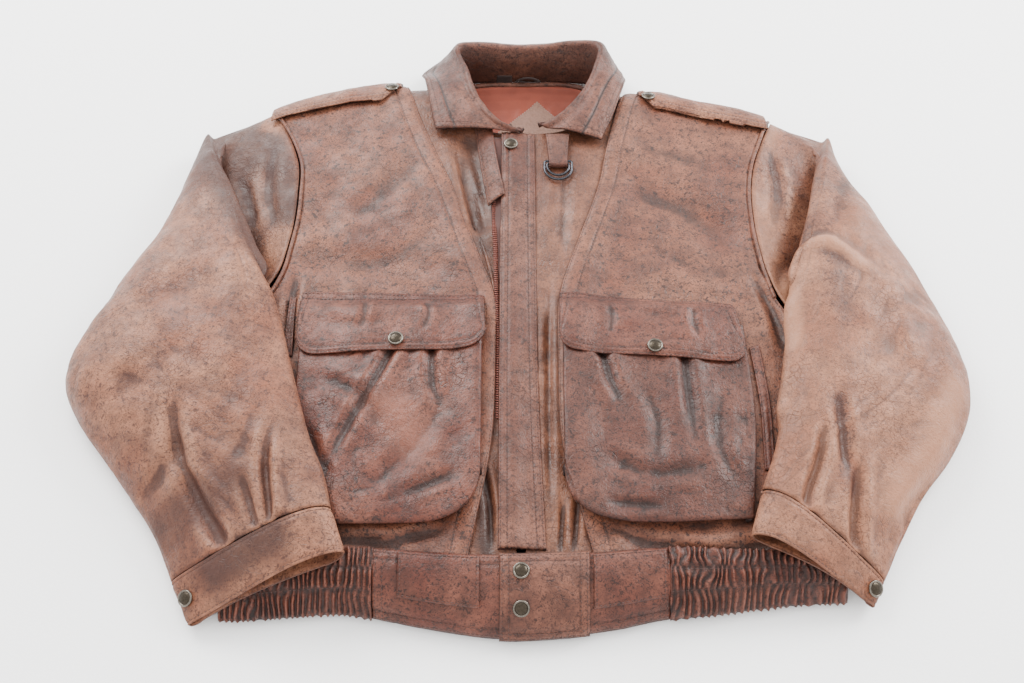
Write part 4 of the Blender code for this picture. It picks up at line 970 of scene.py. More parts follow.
def zip_teeth():
    """Short bars across the tape beside the placket, 2.6 mm apart."""
    y = np.arange(-120.0, 205.0, 2.6)
    x = -24.0 + 3.0 * smooth((60.0 - y) / 90.0) - 2.2 * smooth((y - 60.0) / 60.0)
    z = front_z(x, y) + LIFT + 0.35
    size = np.array([2.3, 0.65, 0.5])
    box = np.array([(a, b, c) for a in (-1, 1) for b in (-1, 1) for c in (-1, 1)], float)
    verts = (np.stack((x, y, z), -1)[:, None] + box[None] * size).reshape(-1, 3)
    quads = np.array([(0, 1, 3, 2), (4, 6, 7, 5), (0, 4, 5, 1), (2, 3, 7, 6), (0, 2, 6, 4), (1, 5, 7, 3)])
    faces = (np.arange(len(y))[:, None, None] * 8 + quads[None]).reshape(-1, 4)
    place(build_mesh("zip_teeth", verts, faces, TEETH, smooth_faces=False))


# Pockets

def pocket(side, bottom, top, left, right, pleats, creases, tones):
    """Bellows bag: a gusset tucked in under a rolled edge, then the pleated face."""
    name = named("pocket", side)
    # (distance inside the edge, share of the bag's rise there): under the rim, round it, over it
    inset, share = np.array([(4.5, 0.0), (6.0, 0.25), (3.0, 0.5), (0.8, 0.62), (0.0, 0.74), (0.5, 0.86),
                             (2.0, 0.95), (4.5, 0.99), (8.0, 1.0)]).T
    face_from, face_cols, face_rows = 10.5, 80, 98
    middle = spread(face_cols, face_from, BAG_WIDE - face_from)
    us = np.concatenate((inset, middle, BAG_WIDE - inset[::-1])) / BAG_WIDE
    su = np.concatenate((share, np.ones(face_cols), share[::-1]))
    vs = np.concatenate((inset, spread(face_rows, face_from, BAG_HIGH))) / BAG_HIGH
    sv = np.concatenate((share, np.ones(face_rows)))
    xy = coons(bottom, top, left, right, us, vs)
    x, y = xy[..., 0], xy[..., 1]
    rise = np.minimum(su[None, :], sv[:, None])
    face = pocket_lift(x)
    h = folds(x, y, creases) + hide(x, y, 60 + side, 1.0, 1.15, 0.9)
    for line, depth in pleats:
        gap, share_at = near_line(x, y, line)[:2]
        fade = smooth(share_at / 0.08) * smooth((1 - share_at) / 0.5)
        h += depth * fade * (-np.exp(-(gap / 5.0) ** 2) + 0.55 * np.exp(-((gap - 10.0) / 7.0) ** 2))
    gap = np.minimum(np.minimum(us, 1 - us)[None, :] * BAG_WIDE, vs[:, None] * BAG_HIGH)
    h = h * smooth((gap - 1.0) / 9.0) + seam_press(gap, 6.5, depth=0.6) * (rise > 0.97)
    grid = lift_to(xy, outer_z(x, y) + POCKET_SEAT + (face - POCKET_SEAT) * rise)
    # painted shade on the gusset tucked under the rolled edge of the bag
    tone = 0.5 + tones(x, y) - 0.5 * (1 - smooth((rise - 0.3) / 0.6))
    cloth(name, grid, WALL, DARK, [name], height=h, tone=tone)


def flap(side, bottom, top, left, right, creases, tones):
    """Pocket flap folded double."""
    name = named("flap", side)
    xy = coons(bottom, top, left, right, spread(96), between(46, [0, .08, .25, .45, .65, .82, 1]))
    x, y = xy[..., 0], xy[..., 1]
    grid = lift_to(xy, outer_z(x, y) + flap_lift(x, y))
    gap = edge_gap(grid, ["left", "right", "bottom"])
    top_gap = edge_gap(grid, ["top"])
    h = folds(x, y, creases) + hide(x, y, 80 + side, 0.8, 0.95, 0.8) * smooth(gap / 8.0)
    h += seam_press(gap, 2.2, 8.0) + rolled(gap, 1.8) + seam_press(top_gap, 2.5, 9.0, depth=0.75)
    h += rolled(top_gap, 1.4)
    done, normal = cloth(name, grid, DOUBLE, DARK, [name], height=h, tone=0.5 + tones(x, y))
    stitch(done, normal, "bottom", 2.4, 8.2, group="thread_dark", first=0.02, last=0.98)
    stitch(done, normal, "left right", 2.4, 8.2, group="thread_dark", first=0.36)
    stitch(done, normal, "top", 2.6, 9.0, group="thread_dark")


# Waistband

def waistband():
    """Waistband's back, its two plain fronts, two patches and the snap tab."""
    xs = np.concatenate(([BAND_LEFT, -259, -253], spread(60, -235, 240), [275, 281, BAND_RIGHT]))
    x, v = np.meshgrid(xs, spread(16))
    y = (FRONT_END - SEW_GAP) * (1 - v) + (table(x, HEM) + 4.0) * v
    end = np.minimum(x - BAND_LEFT, BAND_RIGHT - x)
    z = (BACK_CURL - EDGE_DROP) * (1 - quarter(end / BACK_CURL)) * (1 - 0.8 * v)
    cloth("waistband_back", np.stack((x, y, z), -1), WALL, DARK, ["waistband_back"])
    for name, first, last in (("waistband_front_left", SEW_GAP - ELASTIC_START, -2),
                              ("waistband_front_right", 2, ELASTIC_START - SEW_GAP)):
        grid = band_surface(spread(64, first, last), spread(34))
        x, y = grid[..., 0], grid[..., 1]
        rows = edge_gap(grid, ["top", "bottom"])
        h = hide(x, y, 90, 0.5, 0.6, 0.8) + seam_press(rows, 3.0, 10.0, depth=0.75) + rolled(rows, 1.5)
        done, normal = cloth(name, grid, WALL, DARK, [name], flip=True, height=h)
        stitch(done, normal, "bottom", 3.4, group="thread_dark")
        stitch(done, normal, "top", 3.4, 9.8, group="thread_dark")
        stitch(done, normal, "left" if first < 0 else "right", 2.5, 8.5, group="thread_dark")
    for name, first, last, low in (("band_patch_left", -107, -36, .72), ("band_patch_right", 62, 126, .76)):
        grid = band_surface(spread(40, first, last), spread(30, .04, low), LIFT)
        x, y = grid[..., 0], grid[..., 1]
        gap = edge_gap(grid, ALL_SIDES.split())
        h = hide(x, y, 92, 0.6, 0.75, 0.8) * smooth(gap / 6.0) + seam_press(gap, 2.5) + rolled(gap, 1.3)
        done, normal = cloth(name, grid, WALL, DARK, [name], flip=True, height=h)
        stitch(done, normal, ALL_SIDES, 2.6, group="thread_dark")
    grid = band_surface(spread(44, -19, 59), spread(34), LIFT)
    x, y = grid[..., 0], grid[..., 1]
    gap = edge_gap(grid, ALL_SIDES.split())
    h = hide(x, y, 94, 0.6, 0.7, 0.9) * smooth(gap / 5.0)
    h += seam_press(gap, 2.5, 8.5, depth=0.75) + rolled(gap, 1.5)
    done, normal = cloth("snap_tab", grid, STRAP, COLLAR, ["snap_tab"], flip=True, height=h)
    stitch(done, normal, ALL_SIDES, 2.7, 8.3)


def elastic(name, first, last, seed):
    """Shirred leather: crowded folds that wander and swell, pinched by two rows of elastic."""
    grid = band_surface(spread(9 * GATHERS + 1, first, last), spread(30))
    x, y = grid[..., 0], grid[..., 1]
    t = np.broadcast_to(spread(30)[:, None], x.shape)
    end = -BAND_LEFT if first < 0 else BAND_RIGHT
    channel = np.floor(t * 3.0)
    wander = 0.42 * (noise(x, t * 60.0, 14.0, seed) - 0.5)
    wander += 0.34 * (noise(x + 90 * channel, y * 0, 9.0, seed + 1) - 0.5)
    phase = (np.abs(x) - ELASTIC_START) / (end - ELASTIC_START) * GATHERS + 2.2 * wander
    rows = 1.0 - 0.62 * np.exp(-((t - 0.36) / 0.05) ** 2) - 0.62 * np.exp(-((t - 0.7) / 0.05) ** 2)
    swell = 0.65 + 0.8 * noise(x + 50 * channel, y, 17.0, seed + 2)
    h = 2.7 * (1.0 - np.abs(np.cos(np.pi * phase)) ** 1.2) * rows * swell
    h += 0.4 * (ridged(x, y, 5.0, seed + 3) - 0.4)
    # painted highlight on the crests of the gathers and painted shade in their valleys, on a darker tone
    tone = 0.18 + 0.16 * h
    done, normal = cloth(name, grid, WALL, DARK, [name], flip=True, height=h, tone=tone)
    for row in (11, 20):
        put_stitches(done[row], normal[row], "thread_dark", pitch=4.4)


# Sleeves

def sleeve(side, spec, creases, tones, seed):
    """Sleeve all round, with the fold of its cap."""
    name = named("sleeve", side)
    grid = sleeve_grid(side, spec, 150)
    n = grid_normals(grid, side < 0, True)
    x, y = grid[..., 0], grid[..., 1]
    u, v = arcs(grid)
    over = smooth((n[..., 2] + 0.1) / 0.5)
    rows = spread(len(grid))[:, None]
    cap = 1.0 - smooth((rows - 0.25) / 0.14)
    cols = np.arange(grid.shape[1])[None, :]
    ends = smooth(rows / 0.03) * smooth((1 - rows) / 0.012)
    h = folds(x, y, creases) * over
    h += hide(u, v, seed, 1.3, 0.9, 1.25) * (1 - 0.55 * cap) * (0.4 + 0.6 * over)
    tuck = smooth((rows - 0.86) / 0.12) * smooth((1.0 - rows) / 0.02)
    h += 0.9 * tuck * (ridged(cols + 0 * rows, rows * 20.0, 7.0, seed + 7) - 0.5) * over
    h = h * ends * smooth((n[..., 2] + 0.95) / 0.5)
    shade_in_cap = (0.62 if side < 0 else 0.42) * cap * smooth((rows - 0.02) / 0.05)
    tone = 0.5 + tones(x, y) * np.maximum(over, cap) - shade_in_cap
    cloth(name, grid, WALL, SLEEVE, [name], flip=side < 0, closed=True, height=h, tone=tone)


def cuff(side, spec):
    """Cuff all round, the folded sleeve's section carried on to its mouth."""
    name = named("cuff", side)
    grid = cuff_grid(side, spec, 30)
    u, v = arcs(grid)
    gap = edge_gap(grid, ["top", "bottom"])
    x, y = grid[..., 0], grid[..., 1]
    h = hide(u, v, 130 + side, 0.5, 0.5, 0.9) + seam_press(gap, 3.0) + rolled(gap, 1.5)
    # left cuff: a dark worn patch; right cuff: painted lighter all over, a painted highlight as on the right
    # sleeve
    worn = -0.55 * bump(x, y, [(-262, -268), (-215, -250)], 38.0) if side < 0 else 0.12 + 0 * x
    done, normal = cloth(name, grid, WALL, SLEEVE, [name], flip=side < 0, closed=True, height=h,
                         tone=0.5 + worn)
    stitch(done, normal, "bottom top", 3.2, last=0.62)


# Collar, straps and neck

def collar():
    """Collar in one turned piece, its stand gathered and its fall topstitched."""
    grid = collar_grid(220, 54)
    gap = edge_gap(grid, ["left", "right", "top"])
    rows, cols = spread(54)[:, None], spread(220)[None, :]
    u, v = arcs(grid)
    stand = 1 - smooth((rows - 0.3) / 0.1)
    h = hide(u, v, 150, 0.5, 0.45, 0.8) * smooth(gap / 6.0)
    h += 0.8 * stand * (ridged(cols * 330.0, rows * 12.0, 13.0, 151) - 0.45)
    fall = v[-1:] - v
    channel = np.exp(-((fall - 21.0) / 1.6) ** 2) * smooth((rows - 0.5) / 0.1)
    h += rolled(gap, 1.8) + seam_press(gap, 3.0) - 1.4 * channel
    # painted shade in the channel across the fall; the stand is painted darker too
    tone = 0.5 - 0.25 * stand - 0.45 * channel
    # the sheet's visible face is the thick side of its form
    n = grid_normals(grid, False, False)
    done, normal = cloth("collar", grid + n * DOUBLE, DOUBLE, COLLAR, ["collar"], height=h,
                         tone=tone)
    stitch(done, normal, "left right", 2.8, 9.0, first=0.55)
    stitch(done, normal, "top", 2.8, 9.0, first=0.04, last=0.96)


def straps():
    """Epaulettes over the shoulders and the tab at the throat."""
    for name, root, tip, front, flip in (
            ("epaulette_left", -266, -129, [(-270, 255), (-251, 264), (-183, 287), (-129, 292)], True),
            ("epaulette_right", 264, 130, [(130, 272), (150, 272), (195, 262), (264, 244)], False)):
        grid = strap_grid(root, tip, front, 84, 40)
        u, v = arcs(grid)
        gap = edge_gap(grid, ["left", "top"])
        h = 0.8 + hide(u, v, 160, 0.5, 0.45, 0.8) + seam_press(gap, 3.0, 9.0, depth=0.6) + rolled(gap, 1.2)
        h += 0.8 * np.exp(-((gap - 5.5) / 3.5) ** 2)
        done, normal = cloth(name, grid, DOUBLE, SLEEVE, [name], flip=flip, height=h)
        stitch(done, normal, "left", 3.0, 9.0)
        stitch(done, normal, "top", 3.0, 9.0, last=0.85)
    done, normal = strip("throat_tab", [(-33, 136), (-41, 190), (-48, 246)],
                         [(-15, 145), (-23, 190), (-29, 246)], tab_lift, WALL, COLLAR, 60, 16,
                         seams=(2.4,), extra=0.35, seed=9)
    stitch(done, normal, "left right", 2.4)
    stitch(done, normal, "bottom", 2.4, 22.0)


def under_loop(y):
    """Highest point of what lies under the ring loop at a given y."""
    return float(outer_z(np.linspace(LOOP_X - 12, LOOP_X + 12, 7), np.full(7, y)).max())


def tube(name, path, radius, mat, closed, around=14):
    """Round bar along a path: a ring of points at each of its points."""
    p = np.asarray(path, float)
    ahead = np.roll(p, -1, axis=0) - np.roll(p, 1, axis=0) if closed else np.gradient(p, axis=0)
    ahead /= np.linalg.norm(ahead, axis=1)[:, None]
    a = np.cross(ahead, (0.0, 0.25, 1.0))
    a /= np.linalg.norm(a, axis=1)[:, None]
    b = np.cross(ahead, a)
    w = spread(around + 1)[:-1] * 2 * np.pi
    round_it = np.cos(w)[None, :, None] * a[:, None] + np.sin(w)[None, :, None] * b[:, None]
    grid = p[:, None] + radius * round_it
    quads = join_grid(len(p), around, True, closed)
    return build_mesh(name, grid.reshape(-1, 3), quads[:, ::-1], mat)


def rings():
    """Ring loop folded round the straight bars, and the two rings lying down from them."""
    bar_z = under_loop(LOOP_Y) + 0.7 + SOLID_WALL + SEW_GAP + RING_WIRE
    turn = RING_WIRE + SEW_GAP + SOLID_WALL
    path = [(222, under_loop(222) + 0.9), (206, under_loop(206) + 0.7)]
    path += [(LOOP_Y - 1.0 - turn * np.sin(a), bar_z - turn * np.cos(a)) for a in spread(7) * np.pi]
    path += [(202, bar_z + turn), (214, bar_z + turn), (232, under_loop(232) + 7.0)]
    half = np.interp([p[0] for p in path], (186, 194, 232), (9.7, 9.7, 12.5))
    loop = np.array([[(LOOP_X - w, y, z), (LOOP_X + w, y, z)] for (y, z), w in zip(path, half)])
    loop = curve(loop.reshape(len(loop), -1), spread(90)).reshape(90, 2, 3)
    across = spread(26)[None, :, None]
    grid = loop[:, :1] * (1 - across) + loop[:, 1:] * across
    gap = edge_gap(grid, ["left", "right"])
    h = seam_press(gap, 2.4, depth=0.3) + rolled(gap, 1.0) + hide(grid[..., 0], grid[..., 1], 170, 0.2, 0.3)
    done, normal = cloth("ring_loop", grid, WALL, COLLAR, ["ring_loop"], height=h)
    stitch(done, normal, "left right", 2.4, first=0.62)
    bend = 2.5
    for name, body, bar_y, arm, half in RINGS:
        flat = half - bend
        pts = [(-flat, 0), (flat, 0)]
        pts += [(flat + bend * np.sin(a), bend * np.cos(a) - bend) for a in spread(7)[1:] * np.pi / 2]
        pts += [(half * np.cos(a), -arm - half * np.sin(a)) for a in spread(40) * np.pi]
        pts += [(-flat - bend * np.cos(a), bend * np.sin(a) - bend) for a in spread(7)[:-1] * np.pi / 2]
        reach = arm + half
        tip = float(front_z(np.array([LOOP_X]), np.array([bar_y - reach]))[0]) + RING_WIRE + SEW_GAP + 1.0
        slope = (tip - bar_z) / reach
        long = np.hypot(1.0, slope)
        path = [(LOOP_X + px, bar_y + py / long, bar_z - slope * py / long) for px, py in pts]
        place(tube(name + "_wire", path, RING_WIRE, GUNMETAL, True), [name], body)


NECK_TOP = np.array([(-80, 327), (-55, 337), (6, 341), (66, 337), (94, 320)])


def lining_z(x, y):
    """Height of the neck lining, which climbs to the neck seam."""
    y = y + (340 - table(x, NECK_TOP)) * smooth((y - 280) / 40)
    return np.interp(y, (150, 290, 316, 328, 335, 340), (4.2, 4.4, 5.6, 8.6, 12.0, 16.5))


def neck():
    """What shows in the neck opening: lining, seam, patch with its pinked edge, label and hanger."""
    left, right = [(-112, 190), (-98, 280), NECK_TOP[0]], [(124, 190), (110, 280), NECK_TOP[-1]]
    xy = coons([left[0], right[0]], NECK_TOP, left, right, spread(70),
               between(56, [0, .3, .55, .75, .86, .93, 1]))
    x, y = xy[..., 0], xy[..., 1]
    h = 1.3 * (noise(x, y, 26.0, 180) - 0.5) + 0.9 * (ridged(x * 1.6, y * 0.6, 17.0, 181) - 0.5)
    h *= smooth((336 - y) / 18.0)
    cloth("neck_lining", lift_to(xy, lining_z(x, y)), THIN["neck_lining"], SATIN,
          ["neck_lining"], height=h)
    edge = curve(NECK_TOP, spread(60))
    path = np.column_stack((edge[:, 0] * 1.02, edge[:, 1] + 3.2, np.full(60, 16.2)))
    place(tube("neck_seam", path, 3.1, COLLAR, False))
    pinks = 30
    pink = spread(2 * pinks + 1)
    zig = 1.1 * np.abs((pink * pinks) % 1.0 * 2 - 1)
    near_left, near_right, far_left, far_right = (-46, 258), (14, 206), (20, 326), (78, 262)
    xy = coons([near_left, near_right], [far_left, far_right], [near_left, far_left],
               [near_right, far_right], pink, pink)
    xy[:, 0] += zig[:, None] * (0.66, -0.75)
    xy[-1] += zig[:, None] * (-0.76, -0.66)
    x, y = xy[..., 0], xy[..., 1]
    h = 0.5 * (noise(x, y, 18.0, 183) - 0.5)
    cloth("neck_patch", lift_to(xy, lining_z(x, y) + 2.2), THIN["neck_patch"], SUEDE,
          ["neck_patch"], height=h)
    x, z = np.meshgrid(spread(12, -25, -8), spread(8, 19.5, 28))
    cloth("neck_label", np.stack((x, STAND_FACE + 0.17 * (z - 18), z), -1), THIN["neck_label"], TAPE,
          ["neck_label"], flip=True)
    arc = [(-3 + 26 * s, STAND_FACE - 0.2 - 1.6 * np.sin(np.pi * s), 20.5 + 7.0 * np.sin(np.pi * s) ** 0.8)
           for s in spread(40)]
    place(tube("hanger_cord", arc, 1.3, TAPE, False), ["hanger_loop"])


def welts():
    """Edges of the side pockets."""
    for name, left, right, rows in (
            ("side_welt_left", [(-225, -50), (-225, -15), (-224, 20)],
             [(-216, -50), (-217, -15), (-218, 20)], 40),
            ("side_welt_right", [(219, -172), (221, -100), (217, -40)],
             [(229, -172), (231, -100), (227, -36)], 80)):
        done, normal = strip(name, left, right, lambda x, y: lap(x, y) + SOLID_WALL + SEW_GAP, WALL, DARK,
                             rows, 12, seams=(2.4,), extra=0.3, seed=11)
        stitch(done, normal, "left right", 2.4, group="thread_dark")


# Snaps

# Profiles of the snap caps, (radius, height).
SNAP_ROUND = 40
SNAP_RIM = [(6.2, 0.0), (7.3, 0.35), (7.5, 0.9), (7.3, 1.6), (6.8, 2.05), (6.2, 2.1), (5.8, 1.85), (5.5, 1.5)]
SNAP_DOME = [(5.4, 1.55), (4.6, 2.1), (3.4, 2.5), (2.0, 2.75), (0.8, 2.85), (0.15, 2.87)]


def snap(node):
    """Press snap cap: rolled rim, groove and a low dome, on the axis of its solid."""
    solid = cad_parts[node]
    pts = np.array([tuple(solid.matrix_world @ v.co) for v in solid.data.vertices]) / MM
    centre = pts.mean(axis=0)
    axes = np.linalg.svd(pts - centre)[2]
    n = axes[2] * np.sign(axes[2][2])
    low = centre + n * ((pts - centre) @ n).min()
    a = np.cross(n, (0.0, 1.0, 0.0))
    a /= np.linalg.norm(a)
    b = np.cross(n, a)
    w = spread(SNAP_ROUND + 1)[:-1] * 2 * np.pi
    for name, profile, mat in (("rim", SNAP_RIM, NICKEL), ("dome", SNAP_DOME, BRONZE)):
        r, h = np.array(profile).T
        grid = (low + r[:, None, None] * (np.cos(w)[None, :, None] * a + np.sin(w)[None, :, None] * b)
                + h[:, None, None] * n)
        quads = join_grid(len(r), SNAP_ROUND, True)
        place(build_mesh(node + "_" + name, grid.reshape(-1, 3), quads, mat), [node])


# Build, from the camera on

# The camera is 54 degrees above the table and 1.41 m from the point that it looks at.
eye, aim = Vector((-0.008, -0.829, 1.141)), Vector((-0.008, 0.0, 0.0))
camera = bpy.data.objects.new("camera", bpy.data.cameras.new("camera"))
camera.data.lens, camera.data.sensor_width = 50.0, 36.0
camera.location = eye
camera.rotation_euler = (aim - eye).to_track_quat("-Z", "Y").to_euler()
bpy.context.scene.collection.objects.link(camera)
bpy.context.scene.camera = camera

# In each row of creases: the line in plan, its depth, its width and its lean.
back()
side_front(-1, ARM_L, SEAM_L, [(-273, 287), (-251, 298), (-219, 311), (-187, 323), (-150, 330), (-123, 331)],
           [([(-90, 215), (-140, 150), (-195, 100)], 1.5, 17.0, 0.3),
            ([(-70, 120), (-130, 70), (-190, 60)], 1.0, 16.0, -0.2),
            ([(-100, 300), (-110, 240), (-90, 180)], 0.9, 15.0, 0.2),
            ([(-200, 200), (-190, 140), (-205, 90)], 1.2, 18.0, 0.3),
            ([(-218, 60), (-222, 10), (-214, -60)], 3.0, 6.0, 0.4),
            ([(-180, -236), (-120, -240), (-60, -228)], 2.4, 7.0, 0.3),
            ([(-240, -190), (-180, -246)], 2.2, 8.0, 0.2), ([(-150, -232), (-90, -254)], 1.8, 6.0, 0.2)],
           lambda x, y: -0.10 * smooth((-200 - y) / 30.0))
side_front(1, ARM_R, SEAM_R, [(273, 276), (241, 289), (198, 301), (155, 316), (118, 318)],
           [([(98, 166), (144, 149), (183, 122), (228, 70)], 1.9, 18.0, 0.4),
            ([(110, 250), (150, 215), (215, 190)], 0.9, 17.0, 0.2),
            ([(222, 200), (210, 140), (222, 90)], 1.2, 16.0, 0.3),
            ([(120, 90), (170, 60), (235, 40)], 0.9, 15.0, -0.2),
            ([(226, 60), (244, 10), (254, -50)], 3.4, 7.0, 0.5), ([(238, 70), (262, 30)], 2.0, 8.0, 0.4),
            ([(100, -232), (160, -250), (240, -236)], 2.6, 8.0, 0.3),
            ([(70, -225), (120, -246), (190, -256)], 2.2, 7.0, 0.2),
            ([(235, -190), (262, -240)], 2.4, 9.0, 0.2)],
           lambda x, y: -0.10 * smooth((-200 - y) / 30.0))
centre_front(-1, SEAM_L, -4.0, [(-133, 328), (-101, 328.5), (-84, 302), (-64, 270), (-42, 247), (-4, 237)],
             [([(-66, 225), (-52, 160), (-38, 90)], 3.4, 6.0, 0.3),
              ([(-40, -150), (-28, -200), (-26, -258)], 3.0, 4.5, 0.3)],
             # painted shade in the trough beside the placket and in the opening near the hem
             painted_light_and_tone((-0.35, [(-52, 230), (-44, 170), (-36, 80)], 20.0),
                    (-0.5, [(-36, -170), (-30, -256)], 14.0)))
centre_front(1, SEAM_R, 4.0, [(128, 315.5), (113, 316), (96, 296), (74, 266), (50, 246), (4, 237)],
             [([(30, 60), (27, -60), (26, -230)], 2.0, 4.5, 0.4),
              ([(48, 200), (44, 120), (40, 60)], 1.6, 9.0, 0.3),
              ([(52, -190), (46, -256)], 2.4, 3.6, 0.3), ([(38, -200), (34, -258)], 2.2, 3.4, 0.3)],
             painted_light_and_tone((0.08, [(34, 60), (32, -200)], 8.0)))
piping(-1, ARM_L, 20, 280)
piping(1, ARM_R, 20, 270)
placket()
zip_teeth()

corner = rounded((-120, -229), (-36, -120), (-36, -227), 52)
pocket(-1, [(-210, -228), (-120, -229), *corner], [(-209, -6), (-36, -6)],
       [(-210, -228), (-210, -120), (-209, -6)], [corner[-1], (-36, -120), (-36, -6)],
       [([(-117, -40), (-147, -110), (-166, -152), (-182, -196)], 4.2),
        ([(-84, -40), (-79, -99), (-69, -118)], 3.6)],
       [([(-200, -70), (-150, -100), (-120, -150)], 2.0, 9.0, 0.2),
        ([(-60, -80), (-100, -160), (-150, -210)], 1.6, 11.0, 0.2),
        ([(-200, -120), (-170, -190)], 1.8, 8.0, 0.2), ([(-50, -180), (-110, -205)], 1.8, 7.0, 0.2)],
       # painted highlight, a sheen, on the middle of the bag
       painted_light_and_tone((0.32, [(-120, -110), (-95, -150)], 42.0)))
corner = rounded((40, -120), (120, -228), (38, -226), 52)
pocket(1, [*corner, (120, -228), (205, -222)], [(40, -4), (213, -18)], [corner[0], (39, -120), (40, -4)],
       [(205, -222), (215, -120), (213, -18)],
       [([(74, -44), (84, -87), (97, -122)], 3.8), ([(153, -48), (155, -104), (158, -156)], 3.8)],
       [([(60, -150), (110, -180), (180, -170)], 1.9, 9.0, 0.2),
        ([(110, -80), (125, -130), (118, -190)], 1.7, 9.0, 0.2),
        ([(190, -80), (180, -150), (196, -200)], 1.8, 8.0, 0.2), ([(70, -210), (130, -214)], 1.7, 6.0, 0.2)],
       lambda x, y: -0.22 + 0 * x)

outer_corner = rounded((-212, 0), (-120, -53), (-213, -54), 24)
inner_corner = rounded((-120, -53), (-34, 0), (-33, -52), 24)
flap(-1, [*outer_corner, (-120, -53), *inner_corner], [(-214, 26), (-120, 23), (-35, 18)],
     [outer_corner[0], (-214, 26)], [inner_corner[-1], (-35, 18)],
     [([(-150, 14), (-148, -8), (-152, -30)], 1.2, 4.5, 0.5),
      ([(-92, 10), (-88, -10), (-94, -34)], 1.1, 4.0, -0.5),
      ([(-200, -12), (-160, -22), (-120, -18)], 0.9, 8.0, 0.4), ([(-110, 6), (-60, -4)], 0.8, 6.0, 0.4)],
     painted_light_and_tone((0.10, [(-190, -10), (-60, -20)], 30.0)))
inner_corner = rounded((37, 0), (120, -58), (36, -56), 22)
outer_corner = rounded((120, -59), (208, 0), (215, -64), 24)
flap(1, [*inner_corner, (120, -59), *outer_corner], [(38, 22), (120, 17), (205, 9)],
     [inner_corner[0], (38, 22)], [outer_corner[-1], (205, 9)],
     [([(84, 10), (88, -12), (84, -38)], 1.1, 4.5, 0.5), ([(168, 6), (164, -18), (170, -42)], 1.2, 5.0, -0.5),
      ([(60, -14), (110, -6), (150, -16)], 0.9, 8.0, 0.4)],
     painted_light_and_tone((0.08, [(60, -20), (190, -20)], 30.0)))
welts()

sleeve(-1, SLEEVE_L,
       [([(-312, -96), (-314, -126), (-302, -169), (-282, -208), (-258, -246), (-236, -286)], 4.8, 8.5, 0.5),
        ([(-223, -140), (-224, -181), (-217, -228), (-212, -270)], 4.2, 6.0, 0.5),
        ([(-250, -180), (-236, -214), (-224, -246), (-216, -276)], 2.8, 6.0, 0.4),
        ([(-244, -60), (-262, -120), (-252, -190)], 1.5, 19.0, 0.3),
        ([(-430, -60), (-380, -20), (-320, 20), (-270, 10)], 1.5, 26.0, 0.4),
        ([(-400, -110), (-350, -80), (-300, -40)], 1.6, 22.0, 0.4),
        ([(-350, 190), (-320, 110), (-290, 30)], 1.8, 22.0, 0.4),
        ([(-395, 60), (-340, 60), (-300, 80)], 1.2, 20.0, -0.3),
        ([(-345, -200), (-318, -172), (-308, -140)], 1.8, 12.0, 0.4),
        ([(-262, -190), (-250, -170), (-240, -120)], 1.2, 9.0, 0.3),
        ([(-256, 240), (-262, 180), (-248, 110)], 2.4, 8.0, 0.3),
        ([(-300, 200), (-286, 170), (-270, 120)], 2.2, 8.0, -0.3)],
       # tone: lighter toward the top and darker toward the cuff, a darker patch by the cuff, and painted
       # shade in the cap fold by the armhole
       lambda x, y: 0.16 * smooth((y + 20.0) / 160.0) - 0.14 * smooth((-60.0 - y) / 120.0)
       + painted_light_and_tone((-0.25, [(-330, -230), (-260, -200)], 40.0),
                (-0.70, [(-262, 232), (-246, 185), (-238, 130)], 30.0))(x, y), 100)
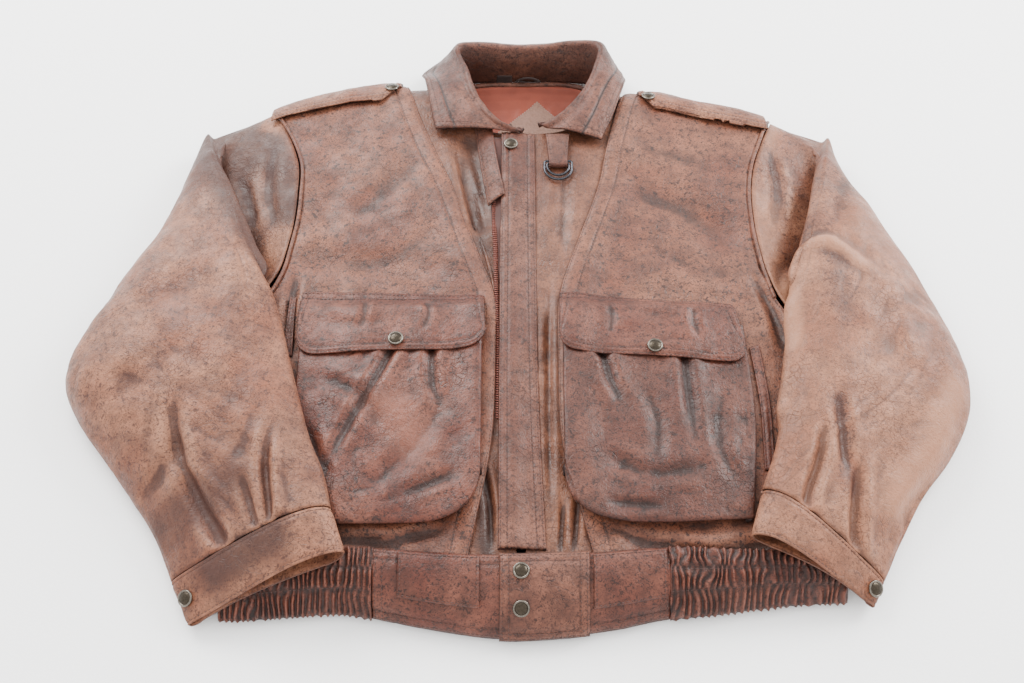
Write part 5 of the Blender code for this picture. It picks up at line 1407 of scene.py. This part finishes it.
sleeve(1, SLEEVE_R,
       [([(276, -128), (264, -176), (250, -212), (240, -250)], 4.2, 6.0, 0.5),
        ([(306, -150), (298, -196), (292, -229), (290, -262), (288, -310)], 4.6, 7.0, 0.5),
        ([(289, -100), (288, -150), (290, -200)], 3.4, 8.0, 0.4),
        ([(406, -85), (375, -149), (330, -204), (312, -240)], -3.0, 13.0, 0.3),
        ([(253, -50), (256, 22), (284, 65), (298, 68), (329, 46), (360, 10)], -2.8, 10.0, 0.3),
        ([(345, 20), (352, -30), (340, -80)], 3.0, 14.0, 0.6),
        ([(400, 40), (370, 0), (380, -60)], 2.8, 16.0, -0.6),
        ([(270, 20), (268, -40), (262, -100)], 1.5, 16.0, 0.3),
        ([(345, 200), (325, 130), (300, 70)], 2.4, 18.0, 0.5),
        ([(250, -60), (246, -120), (240, -170)], 1.6, 12.0, 0.3),
        ([(380, -170), (360, -190), (340, -235)], 1.6, 9.0, 0.4),
        ([(262, 230), (270, 170), (256, 110)], 2.2, 8.0, 0.3)],
       # tone: painted lighter all over as a painted highlight, painted highlights on the raised ridges,
       # painted shade in the crease above the cuff and in the cap by the armhole, and a darker patch
       lambda x, y: 0.16 + 0.10 * smooth((y + 20.0) / 160.0)
       + painted_light_and_tone((0.36, [(253, -50), (256, 22), (284, 65), (298, 68), (329, 46)], 16.0),
                (0.30, [(406, -85), (375, -149), (330, -204)], 24.0),
                (-0.40, [(306, 40), (306, -20)], 26.0),
                (-0.40, [(289, -120), (288, -200)], 12.0),
                (-0.45, [(252, 225), (262, 170)], 22.0))(x, y), 110)
cuff(-1, CUFF_L)
cuff(1, CUFF_R)

waistband()
elastic("elastic_left", BAND_LEFT, -ELASTIC_START, 200)
elastic("elastic_right", ELASTIC_START, BAND_RIGHT, 210)
neck()
collar()
straps()
rings()
for node in sorted(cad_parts):
    if node.startswith("snap_") and node != "snap_tab":
        snap(node)
sew("thread")
sew("thread_dark")

# Floor and light

FLOOR_HALF, FLOOR_Z = 4000, -0.4
corners = [(a * FLOOR_HALF, b * FLOOR_HALF, FLOOR_Z) for a, b in ((-1, -1), (1, -1), (1, 1), (-1, 1))]
floor = build_mesh("floor", corners, [(0, 1, 2, 3)], plain("floor_paper", (0.95, 0.95, 0.95, 1),
                                                           (0.93, 0.93, 0.93, 1), 0.9))
world = bpy.data.worlds.new("studio")
world.use_nodes = True
sky = world.node_tree.nodes["Background"].inputs
sky["Color"].default_value = (1.0, 0.99, 0.98, 1.0)
sky["Strength"].default_value = 2.6
bpy.context.scene.world = world


def softbox(name, spot, toward, size, power):
    """Rectangular lamp at a spot, turned toward a point."""
    data = bpy.data.lights.new(name, "AREA")
    data.shape, data.size, data.size_y, data.energy = "RECTANGLE", size[0], size[1], power
    light = bpy.data.objects.new(name, data)
    light.location = spot
    light.rotation_euler = (Vector(toward) - Vector(spot)).to_track_quat("-Z", "Y").to_euler()
    bpy.context.scene.collection.objects.link(light)


softbox("key", (-1.1, 1.5, 1.5), (0, 0, 0), (1.5, 1.2), 100.0)
softbox("rim", (1.6, 0.9, 1.2), (0, 0, 0), (1.0, 1.0), 75.0)
